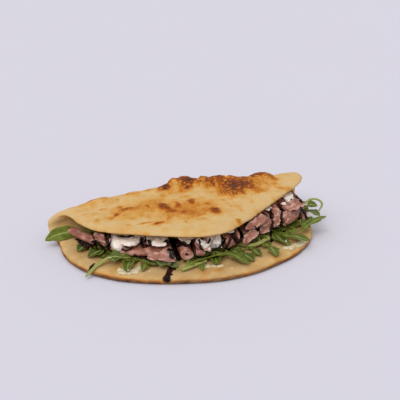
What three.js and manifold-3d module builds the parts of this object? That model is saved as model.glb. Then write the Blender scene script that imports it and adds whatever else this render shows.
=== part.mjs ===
// Pizza dough sandwich: one round of baked dough folded in half over rocket, ham and soft cheese.
// Millimetres. X runs along the fold, Y from the open front to the fold, Z up.

import * as THREE from "three";
import Module from "manifold-3d";

const wasm = await Module();
wasm.setup();

// ---------- Driving dimensions ----------

const DOUGH = 8.6; // thickness of the baked dough
const GAP = 0.35; // clearance between pieces that rest on each other
const BASE_RADIUS = 136; // the lower half lies flat as a half-moon
const BASE_CENTRE_X = 3;
const FOLD_LINE_Y = 8; // here the flat base turns up into the fold
const FOLD_ARC = 31; // dough from the fold line to the middle of the fold's back
const FOLD_BULGE = 0.46; // the fold's depth behind that line, over its height
const FLAP_CURVE = 0.65; // 0 for a flap that falls straight to its edge, 1 for a domed one
const RIM_ROUND = 6; // width of the rounded rim
const RIM_DROP = 1.7; // the base's rim lies this much under its middle layer
const LEFT_LOBE = { at: 205, spread: 24, reach: 14 }; // the half-moon swells here, in degrees from +X
const RIGHT_LOBE = { at: 334, spread: 20, reach: 7 };
const RIGHT_LIP = { from: 108, to: 146, rise: 7 }; // the base's right end curls up

// Height of the folded edge's top along X, and the flap's front edge as x, y and mid height.
const CREST_TOP = [
  [-150, 27], [-128, 31], [-110, 35], [-94, 38.5], [-56, 43], [-13, 47],
  [30, 47.5], [60, 47], [90, 46], [115, 45], [138, 46.5], [152, 45],
];
const FLAP_EDGE = [
  { x: -128, y: 2, z: 29.5 },
  { x: -117, y: -33, z: 29 },
  { x: -101, y: -59, z: 30.5 },
  { x: -75, y: -79, z: 32.5 },
  { x: -48, y: -95, z: 34 },
  { x: -25, y: -106, z: 35 },
  { x: -2, y: -110, z: 35 },
  { x: 18, y: -104, z: 35 },
  { x: 37, y: -90, z: 35.5 },
  { x: 73, y: -61, z: 37.5 },
  { x: 110, y: -33, z: 40 },
  { x: 141, y: -8, z: 43.5 },
];

// Blisters and charred bubbles that stand up from the crust: along the fold, then on the flap.
// x and y are the middle, across and deep the half sizes, rise the height.
const CRUST_BUBBLES = [
  { x: -91, y: 2, across: 14, deep: 11, rise: 3.5 },
  { x: -56, y: 5, across: 9, deep: 7, rise: 1.8 },
  { x: -19, y: 3, across: 8, deep: 6, rise: 2.5 },
  { x: -3, y: 4, across: 9, deep: 10, rise: 9 },
  { x: 9, y: 3, across: 9, deep: 10, rise: 9.5 },
  { x: 21, y: 1, across: 9, deep: 10, rise: 8 },
  { x: 36, y: 3, across: 9, deep: 10, rise: 7 },
  { x: 53, y: 4, across: 9, deep: 9, rise: 6.5 },
  { x: 62, y: -9, across: 13, deep: 12, rise: 5.5 },
  { x: 76, y: -4, across: 11, deep: 12, rise: 5 },
  { x: 48, y: -26, across: 9, deep: 10, rise: 3 },
  { x: 95, y: 4, across: 14, deep: 12, rise: 5.5 },
  { x: -31, y: -42, across: 10, deep: 10, rise: 2.2 },
  { x: -14, y: -40, across: 8, deep: 8, rise: 1.6 },
  { x: 1, y: -37, across: 7, deep: 7, rise: 1.4 },
  { x: 17, y: -67, across: 10, deep: 10, rise: 2.4 },
  { x: -21, y: -66, across: 16, deep: 13, rise: 1.8 },
  { x: -68, y: -37, across: 16, deep: 12, rise: 1.6 },
];

const BUBBLE_FOOT = 1.6; // square of how far its foot spreads, over its half size

// The filling's front outline seen from above, from the left end round to the right end.
const FILLING_EDGE = [
  [-120, -6], [-112, -40], [-98, -60], [-77, -77], [-55, -91], [-33, -101], [-8, -104],
  [15, -97], [45, -84], [70, -72], [95, -68], [115, -56], [127, -36], [131, -6],
];
const BED_TOP = 11.2; // the rocket bed's height under the ham
const HAM_FLOOR = 12.6; // the ham lies over it from here
const LEAF_THICK = 1.5; // a rocket leaf with its curl
const SLICE_THICK = 3.4; // a crumpled slice of ham
const ROLL_THICK = 2.3; // a slice rolled up tightly
const GLAZE_THICK = 3.4; // a bead of glaze, half sunk in what it lies on

// ---------- Materials ----------

const crust = new THREE.MeshStandardMaterial({ color: 0xd2a468, roughness: 0.8, metalness: 0 });
const rocketGreen = new THREE.MeshStandardMaterial({ color: 0x5c7a30, roughness: 0.5, metalness: 0 });
const cookedHam = new THREE.MeshStandardMaterial({ color: 0xbb7a6c, roughness: 0.4, metalness: 0 });
const freshCheese = new THREE.MeshStandardMaterial({ color: 0xf3ece4, roughness: 0.45, metalness: 0 });

// ---------- Small maths ----------

const clamp = THREE.MathUtils.clamp;
const lerp = THREE.MathUtils.lerp;
const smooth = (x, from, to) => THREE.MathUtils.smoothstep(x, from, to);

// The value at x of a curve that passes smoothly through [x, value] pairs.
function along(pairs, x) {
  const last = pairs.length - 1;
  if (x <= pairs[0][0]) return pairs[0][1];
  if (x >= pairs[last][0]) return pairs[last][1];
  const i = pairs.findIndex(([at]) => at > x) - 1;
  const slope = (k) => {
    const [x0, v0] = pairs[Math.max(k - 1, 0)];
    const [x1, v1] = pairs[Math.min(k + 1, last)];
    return (v1 - v0) / (x1 - x0);
  };
  const [xa, va] = pairs[i];
  const [xb, vb] = pairs[i + 1];
  const step = xb - xa;
  const t = (x - xa) / step;
  return (
    va * (1 + 2 * t) * (1 - t) ** 2 +
    vb * t * t * (3 - 2 * t) +
    slope(i) * step * t * (1 - t) ** 2 -
    slope(i + 1) * step * t * t * (1 - t)
  );
}

// Seeded random numbers from 0 to 1.
function seeded(seed) {
  let state = seed;
  return () => {
    state = (state + 0x6d2b79f5) | 0;
    let t = Math.imul(state ^ (state >>> 15), 1 | state);
    t = (t + Math.imul(t ^ (t >>> 7), 61 | t)) ^ t;
    return ((t ^ (t >>> 14)) >>> 0) / 4294967296;
  };
}

// count + 1 positions from -1 to 1, closer together where density is high.
function gridLines(count, density) {
  const samples = 400;
  const sums = [0];
  for (let k = 0; k < samples; k++) {
    sums.push(sums[k] + density(((k + 0.5) / samples) * 2 - 1));
  }
  const lines = [];
  for (let i = 0; i <= count; i++) {
    const target = (i / count) * sums[samples];
    const k = clamp(sums.findIndex((s) => s >= target), 1, samples);
    const part = (target - sums[k - 1]) / (sums[k] - sums[k - 1]);
    lines.push(((k - 1 + part) / samples) * 2 - 1);
  }
  return lines;
}

// count + 1 even positions from -1 to 1.
function evenLines(count) {
  return Array.from({ length: count + 1 }, (_, i) => (2 * i) / count - 1);
}

// The same lines with closer ones added at both ends, for a rounded rim.
function withRimLines(lines, insets) {
  const low = insets.map((inset) => -1 + inset);
  const high = insets.map((inset) => 1 - inset).reverse();
  return [-1, ...low, ...lines.slice(1, -1), ...high, 1];
}

// ---------- Solids ----------

// A closed solid of two skins over a square grid that meet at its rim.
// skin(u, v, side) gives the point on the upper (side 1), lower (-1) or rim (0) surface.
function twoSkinSolid(us, vs, skin) {
  const lastU = us.length - 1;
  const lastV = vs.length - 1;
  const positions = [];
  const ids = { 1: [], "-1": [] };
  const place = (point) => positions.push(point.x, point.y, point.z) / 3 - 1;
  for (let i = 0; i <= lastU; i++) {
    for (const side of [1, -1]) ids[side].push([]);
    for (let j = 0; j <= lastV; j++) {
      const rim = i === 0 || j === 0 || i === lastU || j === lastV;
      ids[1][i][j] = place(skin(us[i], vs[j], rim ? 0 : 1));
      ids[-1][i][j] = rim ? ids[1][i][j] : place(skin(us[i], vs[j], -1));
    }
  }
  const index = [];
  for (let i = 0; i < lastU; i++) {
    for (let j = 0; j < lastV; j++) {
      // Each corner cell is split through its corner, so that the two skins never share a triangle.
      const rising = i < lastU / 2 === j < lastV / 2;
      for (const side of [1, -1]) {
        const g = ids[side];
        const [a, b, c, d] = [g[i][j], g[i + 1][j], g[i + 1][j + 1], g[i][j + 1]];
        const halves = rising ? [[a, b, c], [a, c, d]] : [[a, b, d], [b, c, d]];
        for (const [p, q, r] of halves) index.push(...(side > 0 ? [p, q, r] : [p, r, q]));
      }
    }
  }
  return facingOut(solidFrom(positions, index), positions, index);
}

function solidFrom(positions, index) {
  return new wasm.Manifold(
    new wasm.Mesh({
      numProp: 3,
      vertProperties: new Float32Array(positions),
      triVerts: new Uint32Array(index),
    }),
  );
}

// The solid itself, or the same one with its triangles turned round if they face inwards.
function facingOut(solid, positions, index) {
  if (solid.volume() > 0) return solid;
  const turned = [];
  for (let i = 0; i < index.length; i += 3) turned.push(index[i], index[i + 2], index[i + 1]);
  return solidFrom(positions, turned);
}

function fuse(solids) {
  return solids.reduce((whole, solid) => whole.add(solid));
}

// A named mesh from a solid.
function meshOf(name, solid, material) {
  const { numProp, numVert, vertProperties, triVerts } = solid.getMesh();
  const positions = new Float32Array(numVert * 3);
  for (let i = 0; i < numVert; i++) {
    positions.set(vertProperties.subarray(i * numProp, i * numProp + 3), i * 3);
  }
  const geometry = new THREE.BufferGeometry()
    .setAttribute("position", new THREE.BufferAttribute(positions, 3))
    .setIndex(new THREE.BufferAttribute(new Uint32Array(triVerts), 1));
  geometry.computeVertexNormals();
  const mesh = new THREE.Mesh(geometry, material);
  mesh.name = name;
  return mesh;
}

// A square grid point as a point of the unit disc.
function onDisc(u, v) {
  const x = u * Math.sqrt(1 - (v * v) / 2);
  const y = v * Math.sqrt(1 - (u * u) / 2);
  return { turn: Math.atan2(y, x), reach: Math.min(Math.hypot(x, y), 1) };
}

// The distance from the centre to a closed outline, as a function of the direction.
function outlineReach(points, centre) {
  const curve = new THREE.CatmullRomCurve3(
    points.map(([x, y]) => new THREE.Vector3(x - centre[0], y - centre[1], 0)),
    true,
    "centripetal",
  );
  const table = curve
    .getPoints(720)
    .map((p) => [Math.atan2(p.y, p.x), Math.hypot(p.x, p.y)])
    .sort((a, b) => a[0] - b[0]);
  return (turn) => {
    const next = table.findIndex(([at]) => at > turn);
    const [a1, r1] = next < 0 ? table[0] : table[next];
    const [a0, r0] = next <= 0 ? table[table.length - 1] : table[next - 1];
    const span = (a1 - a0 + 4 * Math.PI) % (2 * Math.PI);
    const part = span > 0 ? ((turn - a0 + 4 * Math.PI) % (2 * Math.PI)) / span : 0;
    return lerp(r0, r1, clamp(part, 0, 1));
  };
}

// ---------- The folded dough ----------

const crestMid = (x) => along(CREST_TOP, x) - DOUGH / 2;
const flapEdgeY = (x) => along(FLAP_EDGE.map((p) => [p.x, p.y]), x);
const flapEdgeMid = (x) => along(FLAP_EDGE.map((p) => [p.x, p.z]), x);
const baseLift = (x) => RIGHT_LIP.rise * smooth(x, RIGHT_LIP.from, RIGHT_LIP.to);

// Mid height of the flap above a point of the table.
function flapMid(x, y) {
  const depth = Math.max(FOLD_LINE_Y - flapEdgeY(x), 12);
  const share = clamp((FOLD_LINE_Y - y) / depth, 0, 1.1);
  const fall = (1 - FLAP_CURVE) * share + FLAP_CURVE * share * share;
  return lerp(crestMid(x), flapEdgeMid(x), fall);
}

const flapUnder = (x, y) => flapMid(x, y) - DOUGH / 2 - GAP;
const baseTop = (x) => baseLift(x) + DOUGH + GAP;

// The dough's mid surface. run is the distance along the dough from the middle of the fold's back:
// below zero on the base's side, above it on the flap's.
function doughMid(x, run) {
  const low = DOUGH / 2 + baseLift(x);
  const high = crestMid(x);
  if (run < -FOLD_ARC) return new THREE.Vector3(x, FOLD_LINE_Y + run + FOLD_ARC, low);
  if (run > FOLD_ARC) {
    const y = FOLD_LINE_Y - (run - FOLD_ARC);
    return new THREE.Vector3(x, y, flapMid(x, y));
  }
  const turn = ((run / FOLD_ARC) * Math.PI) / 2;
  const half = (high - low) / 2;
  return new THREE.Vector3(
    x,
    FOLD_LINE_Y + 2 * half * FOLD_BULGE * Math.cos(turn),
    low + half + half * Math.sin(turn),
  );
}

// The dough's outer direction there: down from the base, back from the fold, up from the flap.
function doughNormal(x, run) {
  const step = 0.5;
  const overRun = doughMid(x, run + step).sub(doughMid(x, run - step));
  const overX = doughMid(x + step, run).sub(doughMid(x - step, run));
  return overRun.cross(overX).normalize();
}

// The unrolled dough's outline: the base's arc, the right fold end, the flap's edge, the left fold end.
function doughOutline() {
  const points = [];
  for (let degrees = 184; degrees <= 356; degrees += 14.34) {
    const a = THREE.MathUtils.degToRad(degrees);
    const uneven = 1.2 * Math.sin(5 * a) + Math.sin(8 * a + 1);
    const swell = [LEFT_LOBE, RIGHT_LOBE].reduce(
      (sum, lobe) => sum + lobe.reach * Math.exp(-(((degrees - lobe.at) / lobe.spread) ** 2)),
      0,
    );
    const reach = BASE_RADIUS + uneven + swell;
    const x = BASE_CENTRE_X + reach * Math.cos(a);
    const y = reach * Math.sin(a);
    points.push([x, y - FOLD_LINE_Y - FOLD_ARC]);
  }
  points.push([145, -14], [147, 14]);
  for (const { x, y } of [...FLAP_EDGE].reverse()) points.push([x, FOLD_ARC + FOLD_LINE_Y - y]);
  points.push([-146, 12], [-147, -14]);
  return points;
}

// Relief of the crust's bubbles at a point of the dough, over its smooth outer skin.
function bubbleRise(x, run) {
  const y = FOLD_LINE_Y - (run - FOLD_ARC);
  let rise = 0;
  for (const bubble of CRUST_BUBBLES) {
    const far = ((x - bubble.x) / bubble.across) ** 2 + ((y - bubble.y) / bubble.deep) ** 2;
    if (far < BUBBLE_FOOT) rise = Math.max(rise, bubble.rise * (1 - far / BUBBLE_FOOT) ** 1.3);
  }
  return rise;
}

// Slight unevenness of the baked surface away from the flat underside.
function doughWave(x, run) {
  return 0.5 * Math.sin(x / 13 + run / 21) * Math.sin(run / 15 - x / 31);
}

function makeBread() {
  const centre = [0, -12];
  const reachOf = outlineReach(doughOutline(), centre);
  const nearCrest = (v) => Math.exp(-(((v - 0.3) / 0.2) ** 2));
  const us = gridLines(35, (u) => 1 + 0.7 * Math.exp(-(((u - 0.35) / 0.35) ** 2)));
  const vs = gridLines(33, (v) => (v < -0.25 ? 0.55 : 1) + 1.3 * nearCrest(v));
  const insets = [0.012, 0.036];
  const skin = (u, v, side) => {
    const { turn, reach } = onDisc(u, v);
    const rim = reachOf(turn);
    const x = centre[0] + reach * rim * Math.cos(turn);
    const run = centre[1] + reach * rim * Math.sin(turn);
    const inset = clamp(((1 - reach) * rim) / RIM_ROUND, 0, 1);
    const half = side === 0 ? 0 : (DOUGH / 2) * Math.sqrt(1 - (1 - inset) ** 2);
    const relief = side > 0 && run > -5 ? bubbleRise(x, run) * inset : 0;
    const wave = side > 0 && run > -FOLD_ARC ? doughWave(x, run) * inset : 0;
    const point = doughMid(x, run).addScaledVector(doughNormal(x, run), side * half + relief + wave);
    const drop = RIM_DROP * (1 - inset) ** 2 * smooth(-run, FOLD_ARC, FOLD_ARC + 12);
    point.z = Math.max(point.z - drop, 0);
    return point;
  };
  return twoSkinSolid(withRimLines(us, insets), withRimLines(vs, insets), skin);
}

// ---------- Sheets, leaves and lumps ----------

// A solid of half thickness half(u, v) on both sides of a mid surface, closing to a thin rim.
function sheet(us, vs, mid, half) {
  const step = 0.01;
  const skin = (u, v, side) => {
    const point = mid(u, v);
    if (side === 0) return point;
    const overU = mid(u + step, v).sub(mid(u - step, v));
    const overV = mid(u, v + step).sub(mid(u, v - step));
    const normal = overU.cross(overV).normalize();
    return point.addScaledVector(normal, side * half(u, v));
  };
  return twoSkinSolid(us, vs, skin);
}

// Behind the filling's front the leaves lie flat under the ham; in front of it they rise freely.
function leafCeiling(x, y) {
  const ahead = Math.max(along(FILLING_EDGE, x) - 3.5 - y, 0);
  return HAM_FLOOR - 2 * GAP + baseLift(x) + 2 * ahead;
}

// Outlines as [share of the length, share of the half width]: a lobed leaf, a plain one,
// a bare stem and a bead of glaze.
const LEAF_SHAPE = [
  [0, 0.1], [0.18, 0.12], [0.28, 0.6], [0.36, 0.22], [0.47, 0.8], [0.56, 0.3],
  [0.68, 0.95], [0.8, 1], [0.91, 0.62], [1, 0.08],
];
const PLAIN_SHAPE = [
  [0, 0.12], [0.15, 0.25], [0.35, 0.7], [0.55, 1], [0.75, 0.85], [0.9, 0.45], [1, 0.08],
];
const STEM_SHAPE = [[0, 1], [0.2, 1], [0.4, 1], [0.6, 1], [0.8, 1], [1, 0.6]];
const BEAD_SHAPE = [[0, 0.4], [0.25, 0.8], [0.5, 0.7], [0.75, 1], [1, 0.5]];

// A leaf or stem along a path, turned about it by roll degrees and cupped across its width.
function leaf({
  path,
  width,
  roll = 0,
  thick = LEAF_THICK,
  cup = 0.12,
  shape = LEAF_SHAPE,
  ceiling = leafCeiling,
}) {
  const curve = new THREE.CatmullRomCurve3(path.map((p) => new THREE.Vector3(...p)));
  const up = new THREE.Vector3(0, 0, 1);
  const mid = (u, v) => {
    const t = clamp((u + 1) / 2, 0, 1);
    const tangent = curve.getTangent(t);
    const across = tangent.clone().cross(up).normalize();
    across.applyAxisAngle(tangent, THREE.MathUtils.degToRad(roll));
    const lift = across.clone().cross(tangent);
    const half = (width / 2) * along(shape, t);
    const wave = cup * half * v * v + 0.08 * half * v * Math.sin(14 * t + path[0][0]);
    const point = curve.getPoint(t).addScaledVector(across, half * v).addScaledVector(lift, wave);
    point.z = Math.min(point.z, ceiling(point.x, point.y) - thick / 2);
    return point;
  };
  const us = shape.map(([t]) => 2 * t - 1);
  return sheet(us, [-1, 0, 1], mid, () => thick / 2);
}

// A thick bead of balsamic glaze that ran down a piece along a path.
function glazeBead(path, width = 4.5) {
  return leaf({ path, width, thick: GLAZE_THICK, cup: 0, shape: BEAD_SHAPE, ceiling: () => Infinity });
}

// A soft lump squeezed in between a floor height and the flap.
function lump({ x, y, across, deep, floor, turn = 0, blunt = 4 }, seed) {
  const phase = seeded(seed)() * 6;
  const lines = [-1, -0.88, -0.55, 0, 0.55, 0.88, 1];
  const a = THREE.MathUtils.degToRad(turn);
  const skin = (u, v, side) => {
    const { turn: around, reach } = onDisc(u, v);
    const uneven = 1 + 0.12 * Math.sin(3 * around + phase) + 0.06 * Math.sin(5 * around - phase);
    const px = across * reach * uneven * Math.cos(around);
    const py = deep * reach * uneven * Math.sin(around);
    const at = new THREE.Vector3(
      x + px * Math.cos(a) - py * Math.sin(a),
      y + px * Math.sin(a) + py * Math.cos(a),
      0,
    );
    const ceiling = Math.max(flapUnder(at.x, at.y) - GAP, floor + 1.5);
    const swell = Math.sqrt(Math.max(1 - reach ** blunt, 0));
    const dimple = side > 0 ? 0.8 * Math.sin(at.x / 3 + phase) * Math.cos(at.y / 4) - 0.8 : 0;
    at.z = lerp(floor, ceiling, 0.5 + (side * swell) / 2) + dimple * swell;
    return at;
  };
  return twoSkinSolid(lines, lines, skin);
}

// The glaze beads that stand out of the pieces they ran over.
const GLAZE_PATHS = {
  bread: [[-40, -106, 8.8], [-44, -114, 8.9], [-48, -120.5, 8.2], [-50, -124, 5.6]],
  ham_long_fold: [[-39, -96, 22.6], [-38, -100.5, 20], [-37.4, -101.4, 14.6]],
  ham_thick_chunk: [[74, -60, 31.4], [75, -64, 26], [75.4, -65, 17]],
  ham_broad_slice: [[118, -44, 29.4], [119, -51, 26], [119.6, -52.6, 19.6]],
};

// ---------- Rocket ----------

// The bed of leaves under the ham: a low uneven pad from the front of the filling to the fold.
function rocketBed() {
  const outline = [...FILLING_EDGE, [118, 4], [60, 6], [0, 6], [-60, 5], [-108, 2]];
  const centre = [0, -42];
  const reachOf = outlineReach(outline, centre);
  const lines = [-1, -0.93, -0.75, -0.5, -0.25, 0, 0.25, 0.5, 0.75, 0.93, 1];
  const skin = (u, v, side) => {
    const { turn, reach } = onDisc(u, v);
    const far = reachOf(turn) * reach;
    const x = centre[0] + far * Math.cos(turn);
    const y = centre[1] + far * Math.sin(turn);
    const low = baseTop(x);
    const bump = 0.5 * Math.sin(x / 5) * Math.cos(y / 6) - 0.5;
    const high = baseLift(x) + BED_TOP + bump;
    return new THREE.Vector3(x, y, side > 0 ? high : side < 0 ? low : (low + high) / 2);
  };
  return twoSkinSolid(lines, lines, skin);
}

const ROCKET_LEAVES = [
  // at the left end, out over the base's rim
  { path: [[-106, -16, 10], [-124, -10, 11.2], [-140, -9, 14], [-154, -12, 10]], width: 17, roll: 8 },
  { path: [[-102, -30, 10], [-114, -40, 12], [-124, -50, 10.4]], width: 13, shape: PLAIN_SHAPE },
  { path: [[-86, -44, 10], [-101, -58, 13], [-116, -67, 10.8]], width: 17, shape: PLAIN_SHAPE },
  // the arching leaf with its pale stem over the front edge
  { path: [[-70, -66, 10], [-80, -86, 14.5], [-91, -84, 16.5], [-101, -79, 12]], width: 15, roll: -20 },
  { path: [[-90, -70, 10], [-104, -80, 11.8], [-114, -87, 9.5], [-122, -93, 4]], width: 6,
    shape: STEM_SHAPE },
  { path: [[-70, -74, 10], [-80, -92, 12], [-85, -106, 10.6]], width: 12, shape: PLAIN_SHAPE },
  { path: [[-58, -82, 10], [-64, -98, 11.6], [-70, -109, 10.2]], width: 10 },
  { path: [[-74, -76, 10], [-64, -94, 12], [-52, -102, 11]], width: 12 },
  { path: [[-56, -84, 10], [-46, -100, 12], [-35, -112, 11]], width: 19, shape: PLAIN_SHAPE },
  // the long pair across the middle
  { path: [[14, -88, 10], [0, -106, 13], [-20, -112, 12.2], [-38, -116, 10.6]], width: 14 },
  { path: [[-22, -92, 10], [0, -107, 15.5], [18, -108, 15], [34, -126, 10.4]], width: 17 },
  { path: [[4, -92, 10], [4, -107, 13], [2, -118, 10.4]], width: 11, shape: PLAIN_SHAPE },
  { path: [[-10, -94, 10], [-12, -113, 11.4], [-14, -124, 10]], width: 7, shape: PLAIN_SHAPE },
  { path: [[22, -86, 10], [34, -106, 12], [40, -121, 10.4]], width: 18 },
  // the right half
  { path: [[34, -80, 10], [52, -92, 12.6], [66, -85, 13], [79, -79, 12]], width: 7, shape: STEM_SHAPE },
  { path: [[48, -76, 10], [47, -98, 12], [51, -112, 10.3]], width: 14 },
  { path: [[58, -70, 10], [65, -98, 12], [66, -118, 10.4]], width: 15 },
  { path: [[72, -62, 10], [92, -82, 13.5], [111, -97, 12]], width: 22 },
  { path: [[84, -60, 10], [82, -84, 12.2], [88, -99, 10.6]], width: 13, shape: PLAIN_SHAPE },
  { path: [[92, -58, 10], [106, -76, 14], [124, -69, 17], [148, -58, 19]], width: 13 },
  { path: [[104, -44, 10.4], [122, -60, 14], [134, -52, 17]], width: 12, shape: PLAIN_SHAPE },
  { path: [[110, -26, 10.6], [127, -32, 16.5], [136, -43, 19], [142, -55, 18]], width: 16 },
  { path: [[112, -16, 10.8], [131, -20, 17], [144, -15, 19]], width: 12 },
  {
    path: [[114, -12, 10.8], [132, -24, 18.5], [150, -22, 24], [157, -28, 23], [148, -42, 19]],
    width: 2.6, thick: 2.2, shape: STEM_SHAPE,
  },
];

function makeRocket() {
  return fuse([rocketBed(), ...ROCKET_LEAVES.map(leaf)]);
}

// ---------- Ham ----------

// A slice folded back over itself: its lower layer comes forward from the fold of the bread, turns up
// at the front edge from A to B, and its upper layer runs back again.
function foldedSlice({ a, b, run, crumple = 1.2, seed }) {
  const phase = seeded(seed)() * 6;
  const width = Math.hypot(b.x - a.x, b.y - a.y);
  const columns = clamp(Math.round(width / 6), 3, 8);
  const turnLines = [-1, -0.6, -0.3, -0.2, -0.1, 0, 0.1, 0.2, 0.3, 0.6, 1];
  const wrap = 0.3; // share of the path that turns at the front
  const deepest = 5; // the turn's greatest depth
  const mid = (u, v) => {
    const s = (u + 1) / 2;
    const low = lerp(a.low, b.low, s) + SLICE_THICK / 2;
    const high = lerp(a.high, b.high, s) - SLICE_THICK / 2;
    const radius = (high - low) / 2;
    const turn = (clamp(v / wrap, -1, 1) * Math.PI) / 2;
    const back = Math.max(Math.abs(v) - wrap, 0) / (1 - wrap);
    const creases = crumple * Math.sin(10 * s + phase + 3 * v);
    const inward = Math.min(radius, deepest) * (1 - Math.cos(turn)) + creases;
    const reach = inward / Math.hypot(run[0], run[1]) + back;
    const ripple = 0.4 * crumple * Math.sin(9 * s + phase) * (1 - back);
    return new THREE.Vector3(
      lerp(a.x, b.x, s) + run[0] * reach,
      lerp(a.y, b.y, s) + run[1] * reach,
      low + radius + radius * Math.sin(turn) + ripple,
    );
  };
  return sheet(evenLines(columns), turnLines, mid, () => SLICE_THICK / 2);
}

// A slice rolled up along an axis, with its spiral showing at the ends.
function rolledSlice({ from, to, radius, turns }) {
  const start = new THREE.Vector3(...from);
  const end = new THREE.Vector3(...to);
  const axis = end.clone().sub(start).normalize();
  const side = axis.clone().cross(new THREE.Vector3(0, 0, 1)).normalize();
  const up = side.clone().cross(axis);
  const pitch = ROLL_THICK + GAP;
  const stepsPerTurn = 11;
  const mid = (u, v) => {
    const t = (v + 1) / 2;
    const angle = t * turns * 2 * Math.PI;
    const reach = radius - ROLL_THICK / 2 - pitch * turns * (1 - t);
    return start
      .clone()
      .lerp(end, (u + 1) / 2)
      .addScaledVector(side, reach * Math.cos(angle))
      .addScaledVector(up, reach * Math.sin(angle));
  };
  const lengthLines = [-1, -0.97, 0.97, 1];
  return sheet(lengthLines, evenLines(Math.round(turns * stepsPerTurn)), mid, () => ROLL_THICK / 2);
}

const HAM = {
  ham_roll_left: rolledSlice({ from: [-125, -10, 17.4], to: [-106, -46, 18.6], radius: 5.6, turns: 1.1 }),
  ham_crumpled_left: foldedSlice({
    a: { x: -104, y: -47, low: HAM_FLOOR, high: 24 },
    b: { x: -93, y: -58, low: HAM_FLOOR, high: 25 },
    run: [9, 38],
    seed: 2,
  }),
  ham_long_fold: foldedSlice({
    a: { x: -79, y: -77, low: HAM_FLOOR, high: 19 },
    b: { x: -34.5, y: -103, low: HAM_FLOOR, high: 23.5 },
    run: [4, 78],
    crumple: 1.4,
    seed: 3,
  }),
  ham_roll_middle: rolledSlice({ from: [-24.5, -106, 20], to: [-19, -50, 20], radius: 8, turns: 2 }),
  ham_corner_fold: foldedSlice({
    a: { x: -15.8, y: -104, low: HAM_FLOOR, high: 27 },
    b: { x: -3, y: -102, low: HAM_FLOOR, high: 20 },
    run: [5, 50],
    crumple: 0.6,
    seed: 4,
  }),
  ham_dark_fold: foldedSlice({
    a: { x: 17, y: -98, low: HAM_FLOOR, high: 26 },
    b: { x: 39, y: -88, low: HAM_FLOOR, high: 28 },
    run: [2, 60],
    seed: 5,
  }),
  ham_low_fold: foldedSlice({
    a: { x: 40.5, y: -87, low: HAM_FLOOR, high: 24.6 },
    b: { x: 59.5, y: -78, low: HAM_FLOOR, high: 20 },
    run: [3, 56],
    crumple: 0.9,
    seed: 9,
  }),
  ham_thick_chunk: foldedSlice({
    a: { x: 48, y: -78, low: 26, high: 33 },
    b: { x: 80.4, y: -65, low: HAM_FLOOR, high: 32 },
    run: [3, 60],
    crumple: 1.6,
    seed: 6,
  }),
  ham_narrow_strip: foldedSlice({
    a: { x: 82, y: -66, low: HAM_FLOOR, high: 32 },
    b: { x: 95.4, y: -60, low: HAM_FLOOR, high: 33.4 },
    run: [3, 55],
    crumple: 0.6,
    seed: 7,
  }),
  ham_broad_slice: foldedSlice({
    a: { x: 96.4, y: -66, low: HAM_FLOOR, high: 32.4 },
    b: { x: 129, y: -45, low: 17.6, high: 32.6 },
    run: [3, 56],
    crumple: 0.8,
    seed: 8,
  }),
};

// ---------- Cheese ----------

const CHEESE = {
  cheese_left: [
    { x: -85.5, y: -60, across: 5.5, deep: 17, floor: 13 },
    { x: -71, y: -62, across: 14, deep: 18, floor: 21.2 },
  ],
  cheese_middle_left: [{ x: -47, y: -74, across: 11, deep: 22, turn: -8, floor: 24, blunt: 6 }],
  cheese_middle: [{ x: -20, y: -78, across: 10, deep: 24, floor: 28.4 }],
  cheese_middle_right: [{ x: 7.5, y: -80, across: 9, deep: 21, floor: 17, blunt: 6 }],
  cheese_small: [{ x: 26, y: -76, across: 7, deep: 16, floor: 28.6 }],
  cheese_right: [{ x: 81, y: -44, across: 6, deep: 16, floor: 32.6 }],
  cheese_far_right: [{ x: 113, y: -26, across: 9, deep: 16, floor: 33.4 }],
};

const makeCheese = (lumps, seed) => fuse(lumps.map((sizes, i) => lump(sizes, seed + i)));

// ---------- The whole sandwich ----------

function assemble() {
  const sandwich = new THREE.Group();
  const place = (name, solid, material) => {
    const glaze = GLAZE_PATHS[name];
    sandwich.add(meshOf(name, glaze ? fuse([solid, glazeBead(glaze)]) : solid, material));
  };
  place("bread", makeBread(), crust);
  place("rocket", makeRocket(), rocketGreen);
  for (const [name, solid] of Object.entries(HAM)) place(name, solid, cookedHam);
  Object.entries(CHEESE).forEach(([name, lumps], i) => {
    place(name, makeCheese(lumps, 11 + 2 * i), freshCheese);
  });
  return sandwich;
}

// The origin is the middle of the footprint, on the table.
function centred(sandwich) {
  const middle = new THREE.Box3().setFromObject(sandwich).getCenter(new THREE.Vector3());
  sandwich.position.set(-middle.x, -middle.y, 0);
  return sandwich;
}

export default centred(assemble());
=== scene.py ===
"""Looks of a pizza dough sandwich: baked dough folded over rocket, ham, soft cheese and dark glaze.

Lengths inside the classes are in millimetres, in the fold's frame: X along the fold, Y from the
open front to the fold, Z up from what it lies on. fold_point() turns them into the model's frame.
"""

import sys

import logging
import math
import random
from collections.abc import Sequence
from dataclasses import dataclass, field, replace
from enum import Enum

import bpy
import numpy as np
from bpy.types import Curve, Material, Node, NodeSocket, Object
from mathutils import Matrix, Vector, noise
from mathutils.bvhtree import BVHTree
from mathutils.kdtree import KDTree


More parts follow.
